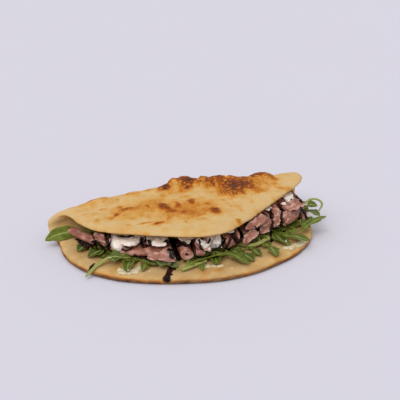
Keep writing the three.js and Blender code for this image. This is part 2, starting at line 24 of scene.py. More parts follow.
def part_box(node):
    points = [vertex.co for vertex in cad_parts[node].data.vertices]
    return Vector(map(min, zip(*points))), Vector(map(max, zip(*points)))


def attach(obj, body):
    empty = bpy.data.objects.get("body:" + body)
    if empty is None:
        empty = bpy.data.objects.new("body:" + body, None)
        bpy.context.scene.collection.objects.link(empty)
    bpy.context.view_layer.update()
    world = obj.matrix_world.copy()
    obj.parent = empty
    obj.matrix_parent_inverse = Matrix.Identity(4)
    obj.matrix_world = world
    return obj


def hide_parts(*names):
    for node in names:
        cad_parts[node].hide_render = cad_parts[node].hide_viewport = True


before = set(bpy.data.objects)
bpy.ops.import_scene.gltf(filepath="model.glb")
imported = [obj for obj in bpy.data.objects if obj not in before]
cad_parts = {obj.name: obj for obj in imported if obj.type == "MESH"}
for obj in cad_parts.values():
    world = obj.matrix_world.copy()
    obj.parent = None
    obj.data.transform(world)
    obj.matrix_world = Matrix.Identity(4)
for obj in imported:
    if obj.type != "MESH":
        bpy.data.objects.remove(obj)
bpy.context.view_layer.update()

MM = 0.001
BODY = "root"
MERGE_DISTANCE = 0.01 * MM
SEED_STEP = 17.3  # how far one step of a seed moves a cloudy pattern, in lumps
BREAD_LOW_CORNER = Vector((-147.822, -135.633, 0.0))  # of the folded dough, in the fold's frame
FOLD_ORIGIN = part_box("bread")[0] - BREAD_LOW_CORNER * MM

Colour = tuple[float, float, float]
Point = tuple[float, float, float]
Path = Sequence[Point]
Table = Sequence[tuple[float, float]]

log = logging.getLogger("sandwich")


# ---------- Places ----------


def fold_point(x: float, y: float, z: float) -> Vector:
    """A point of the fold's frame, in millimetres, as a point of the model's frame, in metres."""
    return FOLD_ORIGIN + Vector((x, y, z)) * MM


def smooth_step(value: np.ndarray | float, low: float, high: float) -> np.ndarray:
    """0 below low, 1 above high and a smooth rise between them."""
    share = np.clip((value - low) / (high - low), 0.0, 1.0)
    return share * share * (3.0 - 2.0 * share)


def smooth_fall(value: np.ndarray | float, low: float, high: float) -> np.ndarray:
    """1 below low, 0 above high and a smooth fall between them."""
    return smooth_step(-value, -high, -low)


def looked_up(place: np.ndarray | float, table: Table) -> np.ndarray:
    """The value at a place, straight between the (place, value) rows of a table."""
    return np.interp(place, [row[0] for row in table], [row[1] for row in table])


def grain_at(points: np.ndarray, size: float, seed: float = 0.0) -> np.ndarray:
    """Smooth random numbers from about -1 to 1 at points, in lumps of a size in millimetres."""
    moved = points / size + seed * SEED_STEP
    return np.array([noise.noise(Vector(p)) for p in moved])


@dataclass(frozen=True)
class Cloud:
    """A cloudy pattern over space: its lumps' size, its strength, and a seed that moves it."""

    size: float
    strength: float
    seed: float = 0.0

    def at(self, points: np.ndarray) -> np.ndarray:
        """The pattern at rows of x, y, z in millimetres."""
        return self.strength * grain_at(points, self.size, self.seed)


# The filling, between the base and the flap
FILLING_FRONT = (
    (-120, -6), (-112, -40), (-98, -60), (-77, -77), (-55, -91), (-33, -101), (-8, -104),
    (15, -97), (45, -84), (70, -72), (95, -68), (115, -56), (127, -36), (131, -6),
)
LIP_FROM, LIP_TO, LIP_LIFT = 108.0, 146.0, 7.0  # where and how far the base's right end curls up
BASE_MIDDLE_X = 3.0  # of the base's round
BASE_TOP = 8.8
HAM_FLOOR = 12.0


def base_lift(x: np.ndarray | float) -> np.ndarray:
    """How much the base's right end is lifted at x."""
    return LIP_LIFT * smooth_step(x, LIP_FROM, LIP_TO)


def filling_front(x: np.ndarray | float) -> np.ndarray:
    """The y of the filling's front edge at x."""
    return looked_up(x, FILLING_FRONT)


# ---------- Mesh work ----------


def only(piece: Object) -> None:
    """Selects one object alone and makes it the active one.

    Args:
        piece: The object.
    """
    bpy.ops.object.select_all(action="DESELECT")
    piece.select_set(True)
    bpy.context.view_layer.objects.active = piece


def apply_modifier(piece: Object, kind: str, **settings: object) -> None:
    """Adds a modifier to a mesh and applies it.

    Args:
        piece: The mesh object.
        kind: The modifier's type, such as "SUBSURF".
        **settings: Its properties.
    """
    only(piece)
    modifier = piece.modifiers.new(kind.title(), kind)
    for name, value in settings.items():
        setattr(modifier, name, value)
    bpy.ops.object.modifier_apply(modifier=modifier.name)


def roughen(piece: Object, size: float, height: float) -> None:
    """Displaces a surface by soft cloudy relief.

    Args:
        piece: The mesh object.
        size: Size of the clouds in millimetres.
        height: Full height of the relief in millimetres.
    """
    clouds = bpy.data.textures.new(f"{piece.name}_relief", "CLOUDS")
    clouds.noise_scale = size * MM
    clouds.noise_depth = 2
    apply_modifier(piece, "DISPLACE", texture=clouds, strength=height * MM, mid_level=0.5)


def merge_doubles(piece: Object) -> None:
    """Joins vertices that lie on each other.

    Args:
        piece: The mesh object.
    """
    only(piece)
    bpy.ops.object.mode_set(mode="EDIT")
    bpy.ops.mesh.select_all(action="SELECT")
    bpy.ops.mesh.remove_doubles(threshold=MERGE_DISTANCE)
    bpy.ops.object.mode_set(mode="OBJECT")


def copy_of_node(node: str, name: str) -> Object:
    """A closed copy of a CAD node's mesh in an object of its own.

    Args:
        node: The CAD node.
        name: The new object's name.

    Returns:
        The new object, with merged vertices and no material.
    """
    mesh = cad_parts[node].data.copy()
    mesh.materials.clear()
    piece = bpy.data.objects.new(name, mesh)
    bpy.context.scene.collection.objects.link(piece)
    merge_doubles(piece)
    return piece


def remesh(piece: Object, voxel: float, softness: float, passes: int) -> None:
    """Gives a piece one even mesh, with faces of a size in millimetres, and softens it."""
    apply_modifier(piece, "REMESH", mode="VOXEL", voxel_size=voxel * MM)
    apply_modifier(piece, "SMOOTH", factor=softness, iterations=passes)


def refined_copy(
    node: str, name: str, voxel: float, softness: float, passes: int, swelling: float = 0.0
) -> Object:
    """A rounded, finely meshed copy of a CAD node.

    Args:
        node: The CAD node.
        name: The new object's name.
        voxel: The size of its faces in millimetres.
        softness, passes: How strongly and how often it is smoothed.
        swelling: How far the surface is moved outwards first, in millimetres.

    Returns:
        The new object.
    """
    piece = copy_of_node(node, name)
    apply_modifier(piece, "SUBSURF", levels=2, render_levels=2)
    if swelling:
        apply_modifier(piece, "DISPLACE", strength=swelling * MM, mid_level=0.0)
    remesh(piece, voxel, softness, passes)
    return piece


def new_curve() -> Object:
    """Adds a curve at the origin, unturned.

    Returns:
        The curve object.
    """
    bpy.ops.curve.primitive_bezier_curve_add()
    curve = bpy.context.object
    curve.matrix_world = Matrix.Identity(4)
    return curve


def joined(pieces: Sequence[Object], name: str) -> Object:
    """Joins several meshes into one object.

    Args:
        pieces: The mesh objects.
        name: The joined object's name.

    Returns:
        The joined object.
    """
    only(pieces[0])
    for piece in pieces:
        piece.select_set(True)
    bpy.ops.object.join()
    pieces[0].name = name
    return pieces[0]


def points_of(piece: Object) -> np.ndarray:
    """A mesh's vertices in the fold's frame.

    Args:
        piece: The mesh object.

    Returns:
        Rows of x, y, z in millimetres.
    """
    flat = np.empty(len(piece.data.vertices) * 3, np.float32)
    piece.data.vertices.foreach_get("co", flat)
    return (flat.reshape(-1, 3).astype(float) - np.array(FOLD_ORIGIN)) / MM


def move_points(piece: Object, points: np.ndarray) -> None:
    """Puts a mesh's vertices at new places.

    Args:
        piece: The mesh object.
        points: Rows of x, y, z in the fold's frame, in millimetres.
    """
    flat = (points * MM + np.array(FOLD_ORIGIN)).astype(np.float32)
    piece.data.vertices.foreach_set("co", flat.ravel())
    piece.data.update()


def normals_of(piece: Object) -> np.ndarray:
    """A mesh's vertex normals.

    Args:
        piece: The mesh object.

    Returns:
        Rows of x, y, z.
    """
    flat = np.empty(len(piece.data.vertices) * 3, np.float32)
    piece.data.vertex_normals.foreach_get("vector", flat)
    return flat.reshape(-1, 3).astype(float)


def write_attribute(piece: Object, name: str, values: np.ndarray | float) -> None:
    """Stores one number for each vertex, for the material to read.

    Args:
        piece: The mesh object.
        name: The attribute's name.
        values: One number for each vertex, or one for all.
    """
    count = len(piece.data.vertices)
    attribute = piece.data.attributes.get(name) or piece.data.attributes.new(name, "FLOAT", "POINT")
    attribute.data.foreach_set("value", np.broadcast_to(values, count).astype(np.float32))


def read_attribute(piece: Object, name: str) -> np.ndarray:
    """A stored number of each vertex, or zeros where the mesh has none.

    Args:
        piece: The mesh object.
        name: The attribute's name.

    Returns:
        One number for each vertex.
    """
    values = np.zeros(len(piece.data.vertices), np.float32)
    attribute = piece.data.attributes.get(name)
    if attribute is not None:
        attribute.data.foreach_get("value", values)
    return values


def bend_along(piece: Object, path: Path, roll: float, twist: float = 0.0) -> None:
    """Bends a piece that lies along X onto a smooth path and stretches it to the path's length.

    Args:
        piece: The mesh object.
        path: Points in the fold's frame, in millimetres.
        roll: Turn about the path, in degrees.
        twist: Further turn from start to end, in degrees.
    """
    guide = new_curve()
    guide.data.twist_mode = "Z_UP"
    guide.data.use_stretch = True
    guide.data.use_deform_bounds = True
    spline = guide.data.splines[0]
    spline.bezier_points.add(len(path) - len(spline.bezier_points))
    for i, (knot, at) in enumerate(zip(spline.bezier_points, path)):
        knot.co = fold_point(*at)
        knot.handle_left_type = knot.handle_right_type = "AUTO"
        knot.tilt = math.radians(roll + twist * i / (len(path) - 1))
    apply_modifier(piece, "CURVE", object=guide, deform_axis="POS_X")
    bpy.data.objects.remove(guide)


# ---------- Finishes ----------


NO_SQUEEZE = (1.0, 1.0, 1.0)
MIX_INPUTS, MIX_OUTPUT = (0, 6, 7), 2  # the Mix node's sockets for a share and two colours


class Shader:
    """A material's node tree, with short calls that add and join its nodes."""

    def __init__(self, name: str) -> None:
        """Starts a material with a Principled surface.

        Args:
            name: The material's name.
        """
        self.material = bpy.data.materials.new(name)
        self.material.use_nodes = True
        self.tree = self.material.node_tree
        self.surface = self.tree.nodes["Principled BSDF"]

    def node(self, kind: str, **settings: object) -> Node:
        """Adds a node.

        Args:
            kind: The node's type after "ShaderNode".
            **settings: Its properties.

        Returns:
            The node.
        """
        made = self.tree.nodes.new("ShaderNode" + kind)
        for name, value in settings.items():
            setattr(made, name, value)
        return made

    def feed(self, socket: NodeSocket, value: object) -> None:
        """Links a socket to another node's output, or sets it to a constant.

        Args:
            socket: The input.
            value: An output socket, a number or a colour.
        """
        if isinstance(value, NodeSocket):
            self.tree.links.new(value, socket)
        elif isinstance(value, tuple) and len(value) == 3 and socket.type == "RGBA":
            socket.default_value = (*value, 1.0)
        else:
            socket.default_value = value

    def place(self) -> NodeSocket:
        """The surface point in the object's own coordinates."""
        return self.node("TexCoord").outputs["Object"]

    def attribute(self, name: str) -> NodeSocket:
        """A number that is stored on the mesh under a name."""
        return self.node("Attribute", attribute_name=name).outputs["Fac"]

    def grain(
        self, size: float, detail: float = 4.0, rough: float = 0.55, squeeze: Point = NO_SQUEEZE
    ) -> NodeSocket:
        """Cloudy noise over the object.

        Args:
            size: Size of its lumps in millimetres.
            detail: Number of finer layers.
            rough: How strong the finer layers are.
            squeeze: How many times smaller the lumps are along X, Y and Z.

        Returns:
            Numbers around 0.5.
        """
        place = self.place()
        if squeeze != NO_SQUEEZE:
            mapping = self.node("Mapping")
            self.feed(mapping.inputs["Vector"], place)
            mapping.inputs["Scale"].default_value = squeeze
            place = mapping.outputs[0]
        made = self.node("TexNoise")
        self.feed(made.inputs["Vector"], place)
        self.feed(made.inputs["Scale"], 1.0 / (size * MM))
        self.feed(made.inputs["Detail"], detail)
        self.feed(made.inputs["Roughness"], rough)
        return made.outputs["Fac"]

    def cells(self, size: float) -> NodeSocket:
        """Distance to scattered points.

        Args:
            size: Their usual distance in millimetres.

        Returns:
            0 at a point, growing away from it.
        """
        made = self.node("TexVoronoi")
        self.feed(made.inputs["Vector"], self.place())
        self.feed(made.inputs["Scale"], 1.0 / (size * MM))
        return made.outputs["Distance"]

    def math(self, operation: str, *values: object) -> NodeSocket:
        """Combines numbers.

        Args:
            operation: The Math node's operation.
            *values: Sockets or numbers.

        Returns:
            The result's output.
        """
        made = self.node("Math", operation=operation)
        for socket, value in zip(made.inputs, values):
            self.feed(socket, value)
        return made.outputs[0]

    def times(self, first: object, second: object) -> NodeSocket:
        """The product of two numbers."""
        return self.math("MULTIPLY", first, second)

    def times_plus(self, value: object, factor: object, start: object) -> NodeSocket:
        """A number times a factor, plus a start."""
        return self.math("MULTIPLY_ADD", value, factor, start)

    def spread(self, value: object, low: float, high: float) -> NodeSocket:
        """Stretches a range of numbers to 0..1.

        Args:
            value: The number.
            low, high: What becomes 0 and 1.

        Returns:
            The stretched number.
        """
        made = self.node("MapRange")
        for name, entry in (("Value", value), ("From Min", low), ("From Max", high)):
            self.feed(made.inputs[name], entry)
        return made.outputs[0]

    def ramp(self, value: object, stops: Sequence[tuple[float, Colour]]) -> NodeSocket:
        """Looks up colours.

        Args:
            value: The place on the ramp.
            stops: Places with their colours.

        Returns:
            The colour.
        """
        made = self.node("ValToRGB")
        entries = made.color_ramp.elements
        while len(entries) < len(stops):
            entries.new(1.0)
        for entry, (at, colour) in zip(entries, stops):
            entry.position = at
            entry.color = (*colour, 1.0)
        self.feed(made.inputs["Fac"], value)
        return made.outputs["Color"]

    def mix(self, share: object, first: object, second: object) -> NodeSocket:
        """Mixes two colours.

        Args:
            share: How much of the second.
            first, second: The colours.

        Returns:
            The mixed colour.
        """
        made = self.node("Mix", data_type="RGBA")
        for index, entry in zip(MIX_INPUTS, (share, first, second)):
            self.feed(made.inputs[index], entry)
        return made.outputs[MIX_OUTPUT]

    def under_glaze(self, colour: object) -> NodeSocket:
        """A colour, covered by the glaze's where the mesh's glaze attribute says so."""
        return self.mix(self.attribute("glaze"), colour, BalsamicGlaze().colour)

    def bump(self, height: object, depth: float, strength: float = 1.0) -> None:
        """Gives the surface fine relief, over any it has.

        Args:
            height: Heights from 0 to 1.
            depth: What a height of 1 is, in millimetres.
            strength: How much of it shows.
        """
        made = self.node("Bump")
        socket = self.surface.inputs["Normal"]
        if socket.is_linked:
            self.feed(made.inputs["Normal"], socket.links[0].from_socket)
        self.feed(made.inputs["Height"], height)
        self.feed(made.inputs["Distance"], depth * MM)
        self.feed(made.inputs["Strength"], strength)
        self.feed(socket, made.outputs["Normal"])

    def finish(self, **inputs: object) -> Material:
        """Feeds the surface's inputs.

        Args:
            **inputs: Input names with underscores for spaces.

        Returns:
            The material.
        """
        for name, value in inputs.items():
            self.feed(self.surface.inputs[name.replace("_", " ")], value)
        return self.material


@dataclass(frozen=True)
class BakedCrust:
    """Baked dough: pale and floury, gold where toasted, brown to black where charred."""

    stops: tuple[tuple[float, Colour], ...] = (
        (0.00, (0.68, 0.46, 0.205)),
        (0.12, (0.67, 0.41, 0.145)),
        (0.28, (0.64, 0.315, 0.070)),
        (0.44, (0.55, 0.210, 0.028)),
        (0.60, (0.37, 0.085, 0.006)),
        (0.76, (0.21, 0.056, 0.014)),
        (1.00, (0.085, 0.028, 0.014)),
    )
    flour: Colour = (0.70, 0.55, 0.34)
    darker_brown: Colour = (0.40, 0.24, 0.10)
    charred: Colour = (0.175, 0.062, 0.040)

    def material(self) -> Material:
        """Makes the material, which reads the attributes toast, char, dull and glaze.

        Returns:
            The material.
        """
        shader = Shader("baked_crust")
        toast, char = shader.attribute("toast"), shader.attribute("char")
        mottle = shader.math("SUBTRACT", shader.grain(8.0, 5.0, 0.6), 0.5)
        fleck = shader.math("SUBTRACT", shader.grain(1.8, 3.0), 0.5)
        amount = shader.times_plus(toast, 0.5, 0.36)
        uneven = shader.times_plus(mottle, amount, toast)
        uneven = shader.times_plus(fleck, shader.times(amount, 0.85), uneven)
        swirls = shader.grain(3.2, 2.0)
        crackle = shader.times(shader.math("SUBTRACT", swirls, 0.52), char)
        colour = shader.ramp(shader.times_plus(crackle, 1.5, uneven), self.stops)
        burnt = shader.times(shader.times(char, shader.spread(swirls, 0.42, 0.66)), 0.6)
        colour = shader.mix(burnt, colour, self.charred)
        dust = shader.spread(shader.grain(4.0, 6.0, 0.7), 0.54, 0.76)
        dust = shader.times(shader.times(dust, shader.spread(toast, 0.3, 0.0)), 0.5)
        colour = shader.mix(dust, colour, self.flour)
        dull = shader.times(shader.attribute("dull"), shader.spread(shader.grain(12.0), 0.3, 0.6))
        colour = shader.under_glaze(shader.mix(shader.times(dull, 0.5), colour, self.darker_brown))
        shader.bump(shader.grain(1.1, 4.0, 0.65), 0.4, 0.6)
        shader.bump(shader.spread(shader.cells(2.3), 0.0, 0.35), 0.3, 0.35)
        shader.bump(shader.grain(5.0, 3.0), 1.2, 0.6)
        return shader.finish(
            Base_Color=colour,
            Roughness=shader.times_plus(shader.attribute("glaze"), -0.5, 0.78),
            Specular_IOR_Level=0.1,
            Subsurface_Weight=0.04,
            Subsurface_Radius=(0.003, 0.0015, 0.0008),
            Subsurface_Scale=1.0,
        )


@dataclass(frozen=True)
class RocketLeaf:
    """Fresh rocket: mid green, paler at the midrib and side veins, soft sheen, painted highlight at
    edges.
    """

    blade: Colour = (0.032, 0.054, 0.003)
    # also the colour of the painted highlight along the leaf edges
    young_and_highlight: Colour = (0.165, 0.205, 0.013)
    dull: Colour = (0.110, 0.150, 0.085)
    rib: Colour = (0.42, 0.43, 0.13)

    def material(self) -> Material:
        """Makes the material, which reads the UV map and the attributes tint, stem and glaze.

        Returns:
            The material.
        """
        shader = Shader("rocket_leaf")
        split = shader.node("SeparateXYZ")
        shader.feed(split.inputs[0], shader.node("UVMap").outputs[0])
        along, across = split.outputs["X"], split.outputs["Y"]
        off_rib = shader.math("ABSOLUTE", shader.math("SUBTRACT", across, 0.5))
        wave = shader.math("SINE", shader.times(shader.times_plus(off_rib, -0.55, along), 75.0))
        veins = shader.times(shader.spread(wave, 0.86, 1.0), 0.45)
        lines = shader.math("MAXIMUM", shader.spread(off_rib, 0.075, 0.02), veins)
        tint = shader.attribute("tint")
        blade = shader.mix(shader.spread(tint, 0.0, 0.6), self.blade, self.young_and_highlight)
        blade = shader.mix(shader.spread(tint, 0.72, 0.95), blade, self.dull)
        blotch = shader.spread(shader.grain(6.0), 0.35, 0.7)
        blade = shader.mix(shader.times(blotch, 0.65), blade, self.blade)
        # painted highlight: the blade lightens towards its edges
        edge = shader.times(shader.spread(off_rib, 0.36, 0.49), 0.7)
        blade = shader.mix(edge, blade, self.young_and_highlight)
        stalk = shader.math("MAXIMUM", shader.spread(along, 0.30, 0.14), shader.attribute("stem"))
        pale = shader.math("MAXIMUM", lines, stalk)
        colour = shader.under_glaze(shader.mix(shader.times(pale, 0.8), blade, self.rib))
        shader.bump(shader.math("SUBTRACT", 1.0, lines), 0.4, 0.5)
        shader.bump(shader.grain(1.5), 0.3, 0.35)
        return shader.finish(
            Base_Color=colour,
            Roughness=0.40,
            Specular_IOR_Level=0.25,
            Subsurface_Weight=0.15,
            Subsurface_Radius=(0.001, 0.002, 0.0005),
            Subsurface_Scale=1.0,
        )


@dataclass(frozen=True)
class CookedHam:
    """Moist cooked ham: dusty pink meat, paler fat and rims, red-brown soaked glaze and painted
    shade.
    """

    meat: Colour = (0.56, 0.265, 0.200)
    deep: Colour = (0.38, 0.135, 0.085)
    fat: Colour = (0.74, 0.49, 0.38)
    # also the colour of the painted shade along the slices' bottoms and under the flap's edge
    soaked: Colour = (0.170, 0.036, 0.014)

    def material(self) -> Material:
        """Makes the material, which reads the attributes glaze and rim, and the darkening for
        soaked glaze and painted shade.

        Returns:
            The material.
        """
        shader = Shader("cooked_ham")
        streaks = shader.grain(3.0, 5.0, 0.5, squeeze=(1.0, 0.25, 2.2))
        darker = shader.spread(shader.grain(9.0), 0.38, 0.66)
        colour = shader.mix(darker, self.meat, self.deep)
        fat = shader.spread(streaks, 0.53, 0.68)
        colour = shader.mix(shader.times(fat, 0.7), colour, self.fat)
        colour = shader.mix(shader.times(shader.attribute("rim"), 0.65), colour, self.fat)
        # red-brown for soaked glaze, and as painted shade at the slices' bottoms and under the flap
        colour = shader.under_glaze(shader.mix(shader.attribute("darkening"), colour, self.soaked))
        shader.bump(streaks, 0.5, 0.5)
        shader.bump(shader.grain(1.0), 0.2, 0.4)
        return shader.finish(
            Base_Color=colour,
            Roughness=shader.times_plus(shader.attribute("glaze"), -0.2, 0.45),
            Specular_IOR_Level=0.4,
            Subsurface_Weight=0.12,
            Subsurface_Radius=(0.004, 0.0015, 0.001),
            Subsurface_Scale=1.0,
        )


@dataclass(frozen=True)
class FreshCheese:
    """Soft white cheese, faintly pink where meat juice and glaze have run over it."""

    curd: Colour = (0.94, 0.86, 0.78)
    stained: Colour = (0.76, 0.52, 0.42)

    def material(self) -> Material:
        """Makes the material, which reads the attribute glaze.

        Returns:
            The material.
        """
        shader = Shader("fresh_cheese")
        darkening = shader.spread(shader.grain(6.0, 5.0), 0.48, 0.75)
        colour = shader.under_glaze(shader.mix(shader.times(darkening, 0.7), self.curd, self.stained))
        shader.bump(shader.grain(1.3, 5.0), 0.6, 0.7)
        return shader.finish(
            Base_Color=colour,
            Roughness=0.45,
            Subsurface_Weight=0.25,
            Subsurface_Radius=(0.004, 0.003, 0.002),
            Subsurface_Scale=1.0,
        )


@dataclass(frozen=True)
class CreamySpread:
    """A thin creamy spread with flecks of herb."""

    cream: Colour = (0.83, 0.64, 0.38)
    fleck: Colour = (0.40, 0.25, 0.11)

    def material(self) -> Material:
        """Makes the material.

        Returns:
            The material.
        """
        shader = Shader("creamy_spread")
        flecks = shader.spread(shader.cells(3.0), 0.22, 0.12)
        colour = shader.mix(shader.times(flecks, 0.6), self.cream, self.fleck)
        shader.bump(shader.grain(1.4, 4.0), 0.5, 0.6)
        return shader.finish(Base_Color=colour, Roughness=0.35, Subsurface_Weight=0.2)


@dataclass(frozen=True)
class BalsamicGlaze:
    """Thick balsamic glaze: almost black, red-brown where thin, with a wet gloss."""

    colour: Colour = (0.008, 0.002, 0.002)
    thin: Colour = (0.040, 0.007, 0.004)

    def material(self) -> Material:
        """Makes the material.

        Returns:
            The material.
        """
        shader = Shader("balsamic_glaze_and_shadow")
        shade = shader.mix(shader.spread(shader.grain(4.0), 0.4, 0.7), self.colour, self.thin)
        return shader.finish(Base_Color=shade, Roughness=0.25, Specular_IOR_Level=0.14)


@dataclass(frozen=True)
class StudioFloor:
    """The plain pale floor."""

    colour: Colour = (0.70, 0.68, 0.755)
    shading: float = 0.985  # of the colour, in the darker clouds

    def material(self) -> Material:
        """Makes the material.

        Returns:
            The material.
        """
        shader = Shader("studio_floor")
        darker = tuple(self.shading * part for part in self.colour)
        shade = shader.mix(shader.grain(400.0), self.colour, darker)
        return shader.finish(Base_Color=shade, Roughness=0.9, Specular_IOR_Level=0.2)


def hand_over(piece: Object, nodes: Sequence[str], material: Material) -> None:
    """Dresses a finished piece with its material, hangs it on the body, and hides and logs what it
    replaces.

    Args:
        piece: The mesh object.
        nodes: CAD nodes that it replaces.
        material: Its material.
    """
    piece.data.materials.clear()
    piece.data.materials.append(material)
    only(piece)
    bpy.ops.object.shade_smooth()
    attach(piece, BODY)
    if nodes:
        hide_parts(*nodes)
    faces, replaced = len(piece.data.polygons), list(nodes) or "nothing"
    log.info("%s: %d faces, replaces %s", piece.name, faces, replaced)


# ---------- The dough ----------


@dataclass(frozen=True)
class Patch:
    """A round patch of the crust seen from above: a bubble, a scorched spot or both."""

    x: float
    y: float
    across: float
    deep: float
    toast: float = 0.0
    rise: float = 0.0


def patches(*rows: tuple[float, ...]) -> tuple[Patch, ...]:
    """Patches from rows of x, y, across, deep, toast and rise."""
    return tuple(Patch(*row) for row in rows)


@dataclass
class BakedDough:
    """The round of dough folded in half, with its bubbles, blisters and browning."""

    voxel: float = 1.32  # keeps the piece under 200,000 triangles
    softness: float = 0.6
    smoothing_passes: int = 6
    rim_height: float = 20.0  # above it lies the flap, below it the base
    flap_height: float = 26.0  # above it all is flap
    ceiling: float = 57.1  # the highest bubble's top
    resting: float = 0.6  # below it the underside lies flat
    least_height: float = 0.3
    edge_thinning: float = 2.2  # how much the flap's lower side is lifted towards its skin
    edge_reach: float = 45.0  # how far back from the front the flap's edge is lifted
    edge_lifts: Table = (
        (-135, 0.0), (-105, 2.2), (-60, 2.8), (5, 2.4), (32, 0.0), (60, -2.4), (105, -2.4),
        (130, 0.0),
    )
    crest: tuple[Patch, ...] = patches(
        (-93, 2, 15, 11, 0.20, 2.2), (-93, 10, 17, 4, 0.40, 0.0), (-56, 5, 9, 7, 0.34, 1.2),
        (-38, 6, 7, 6, 0.30, 0.8), (-19, 3, 9, 6, 0.66, 2.2), (-8, 5, 6, 6, 0.40, 4.2),
        (3, 4, 7, 7, 0.55, 4.0), (5, -3, 7, 6, 0.55, 2.0), (15, 3, 7, 6, 0.26, 2.0),
        (21, -6, 13, 4.5, 0.30, 1.8), (27, 5, 6, 6, 0.56, 3.8), (36, -2, 9, 6, 0.50, 2.4),
        (44, 4, 8, 7, 0.46, 3.8), (51, -13, 10, 11, 0.70, 2.2), (61, -17, 11, 12, 0.62, 1.4),
        (63, 0, 11, 8, 0.46, 2.8), (74, -12, 11, 10, 0.50, 1.8), (79, -27, 9, 7, 0.34, 0.8),
        (43, -31, 8, 11, 0.50, 1.0), (35, -28, 5, 5, 0.20, 0.6), (54, -29, 8, 7, 0.34, 0.6),
        (93, 4, 15, 8, 0.64, 2.8), (91, -12, 8, 7, 0.26, 1.0),
    )
    spots: tuple[Patch, ...] = patches(
        (-31, -42, 6.2, 12, 0.56, 0.9), (-16, -41, 3.0, 8, 0.32, 0.5), (-1, -38, 4.4, 6, 0.42, 0.7),
        (-25, -13, 4, 6, 0.26, 0.5), (-47, -32, 2.6, 5, 0.22, 0.4), (-69, -27, 8, 5, 0.40, 0.6),
        (-60, -31, 5, 5, 0.24, 0.5), (-80, -37, 3.5, 4, 0.46, 0.6), (-74, -20, 3, 3, 0.26, 0.4),
        (-91, -16, 5, 3.5, 0.40, 0.5), (-72, -1, 3, 4, 0.34, 0.4), (-100, -23, 4, 4, 0.16, 0.3),
        (-68, -51, 3, 4, 0.20, 0.3), (-56, -68, 9, 3, 0.36, 0.4), (-46, -74, 9, 3, 0.38, 0.4),
        (-38, -77, 6, 2.5, 0.24, 0.3), (-20, -60, 13, 5, 0.12, 0.5), (-6, -64, 8, 5, 0.12, 0.4),
        (18, -67, 6.0, 10, 0.58, 0.8), (15, -47, 3, 4, 0.22, 0.4), (35, -89, 4.5, 5, 0.46, 1.0),
        (24, -94, 7, 4, 0.12, 0.4), (64, -49, 3, 4, 0.18, 0.3), (112, -27, 9, 3, 0.22, 0.4),
        (35, -52, 4, 6, 0.12, 0.3),
    )
    zones: tuple[Patch, ...] = patches(
        (-46, -36, 54, 25, 0.28), (-8, -54, 48, 27, 0.33), (0, -2, 32, 14, 0.20),
        (54, -14, 40, 24, 0.24), (92, 0, 26, 14, 0.18),
    )
    blister_count: int = 130
    crust_bubble_count: int = 70
    blister_seed: int = 7
    base_scorches: int = 26
    scorch_seed: int = 21
    wrinkles: tuple[Cloud, ...] = (Cloud(13.0, 0.8, 1.0), Cloud(5.0, 0.35, 2.0))
    shift_x: tuple[Cloud, ...] = (Cloud(5.0, 2.0, 4.0), Cloud(13.0, 2.5, 14.0))
    shift_y: tuple[Cloud, ...] = (Cloud(5.0, 2.8, 5.0), Cloud(13.0, 2.5, 15.0))
    streak_squeeze: Point = (0.45, 1.0, 1.0)  # draws a cloudy pattern out along X

    def build(self) -> Object:
        """Makes the dressed dough.

        Returns:
            The finished piece.
        """
        dough = refined_copy(
            "bread", "baked_dough", self.voxel, self.softness, self.smoothing_passes
        )
        self.raise_relief(dough)
        self.brown(dough)
        hand_over(dough, ["bread"], BakedCrust().material())
        return dough

    def blisters(self) -> list[Patch]:
        """Draws small blisters all over the flap, denser along the crest, by a seeded rule.

        Returns:
            The blisters.
        """
        draw = random.Random(self.blister_seed)
        found = []
        for _ in range(self.blister_count):
            size = draw.uniform(1.6, 4.2)
            toast = draw.choice((0.0, 0.04, 0.08, 0.14, 0.24))
            x, y = draw.uniform(-125, 130), draw.uniform(-95, 8)
            found.append(Patch(x, y, size, 1.3 * size, toast, 0.12 * size))
        for _ in range(self.crust_bubble_count):
            size = draw.uniform(1.8, 4.5)
            x = draw.triangular(-30, 110, 50)
            y, toast = draw.gauss(-3, 7), draw.uniform(0.0, 0.35)
            found.append(Patch(x, y, size, size, toast, 0.3 * size))
        return found

    @staticmethod
    def reach_of(points: np.ndarray, patch: Patch) -> np.ndarray:
        """How far points lie from a patch's middle, over its half size."""
        across = (points[:, 0] - patch.x) / patch.across
        return np.hypot(across, (points[:, 1] - patch.y) / patch.deep)

    def raise_relief(self, dough: Object) -> None:
        """Raises bubbles and blisters with a crease round each, and wrinkles the skin between them.

        Args:
            dough: The mesh object.
        """
        points, normals = points_of(dough), normals_of(dough)
        height, up = points[:, 2], normals[:, 2]
        ragged = self.ragged(points, 0.8)
        top = smooth_step(up, -0.1, 0.4) * smooth_step(height, 22.0, 27.0)
        rise, crease = np.zeros(len(points)), np.zeros(len(points))
        for patch in (*self.crest, *self.spots, *self.blisters()):
            far = self.reach_of(ragged, patch)
            dome = np.clip(1.0 - (far / 1.1) ** 2, 0.0, 1.0) ** 0.75
            ring = np.clip(1.0 - np.abs(far - 1.2) / 0.25, 0.0, 1.0)
            rise = np.maximum(rise, patch.rise * dome)
            crease = np.maximum(crease, min(0.45 * patch.rise, 1.0) * ring)
        rise -= crease * smooth_fall(rise, 0.0, 0.8)
        relief = rise * top + sum(cloud.at(points) for cloud in self.wrinkles)
        lower_side = smooth_fall(up, -0.7, 0.2) * smooth_step(height, self.rim_height, 24.0)
        out = relief * smooth_step(height, 1.0, 4.0) - self.edge_thinning * lower_side
        moved = points + normals * out[:, None]
        moved[:, 2] += self.edge_lift(points)
        clipped = np.clip(moved[:, 2], self.least_height, self.ceiling)
        moved[:, 2] = np.where(height < self.resting, height, clipped)
        move_points(dough, moved)

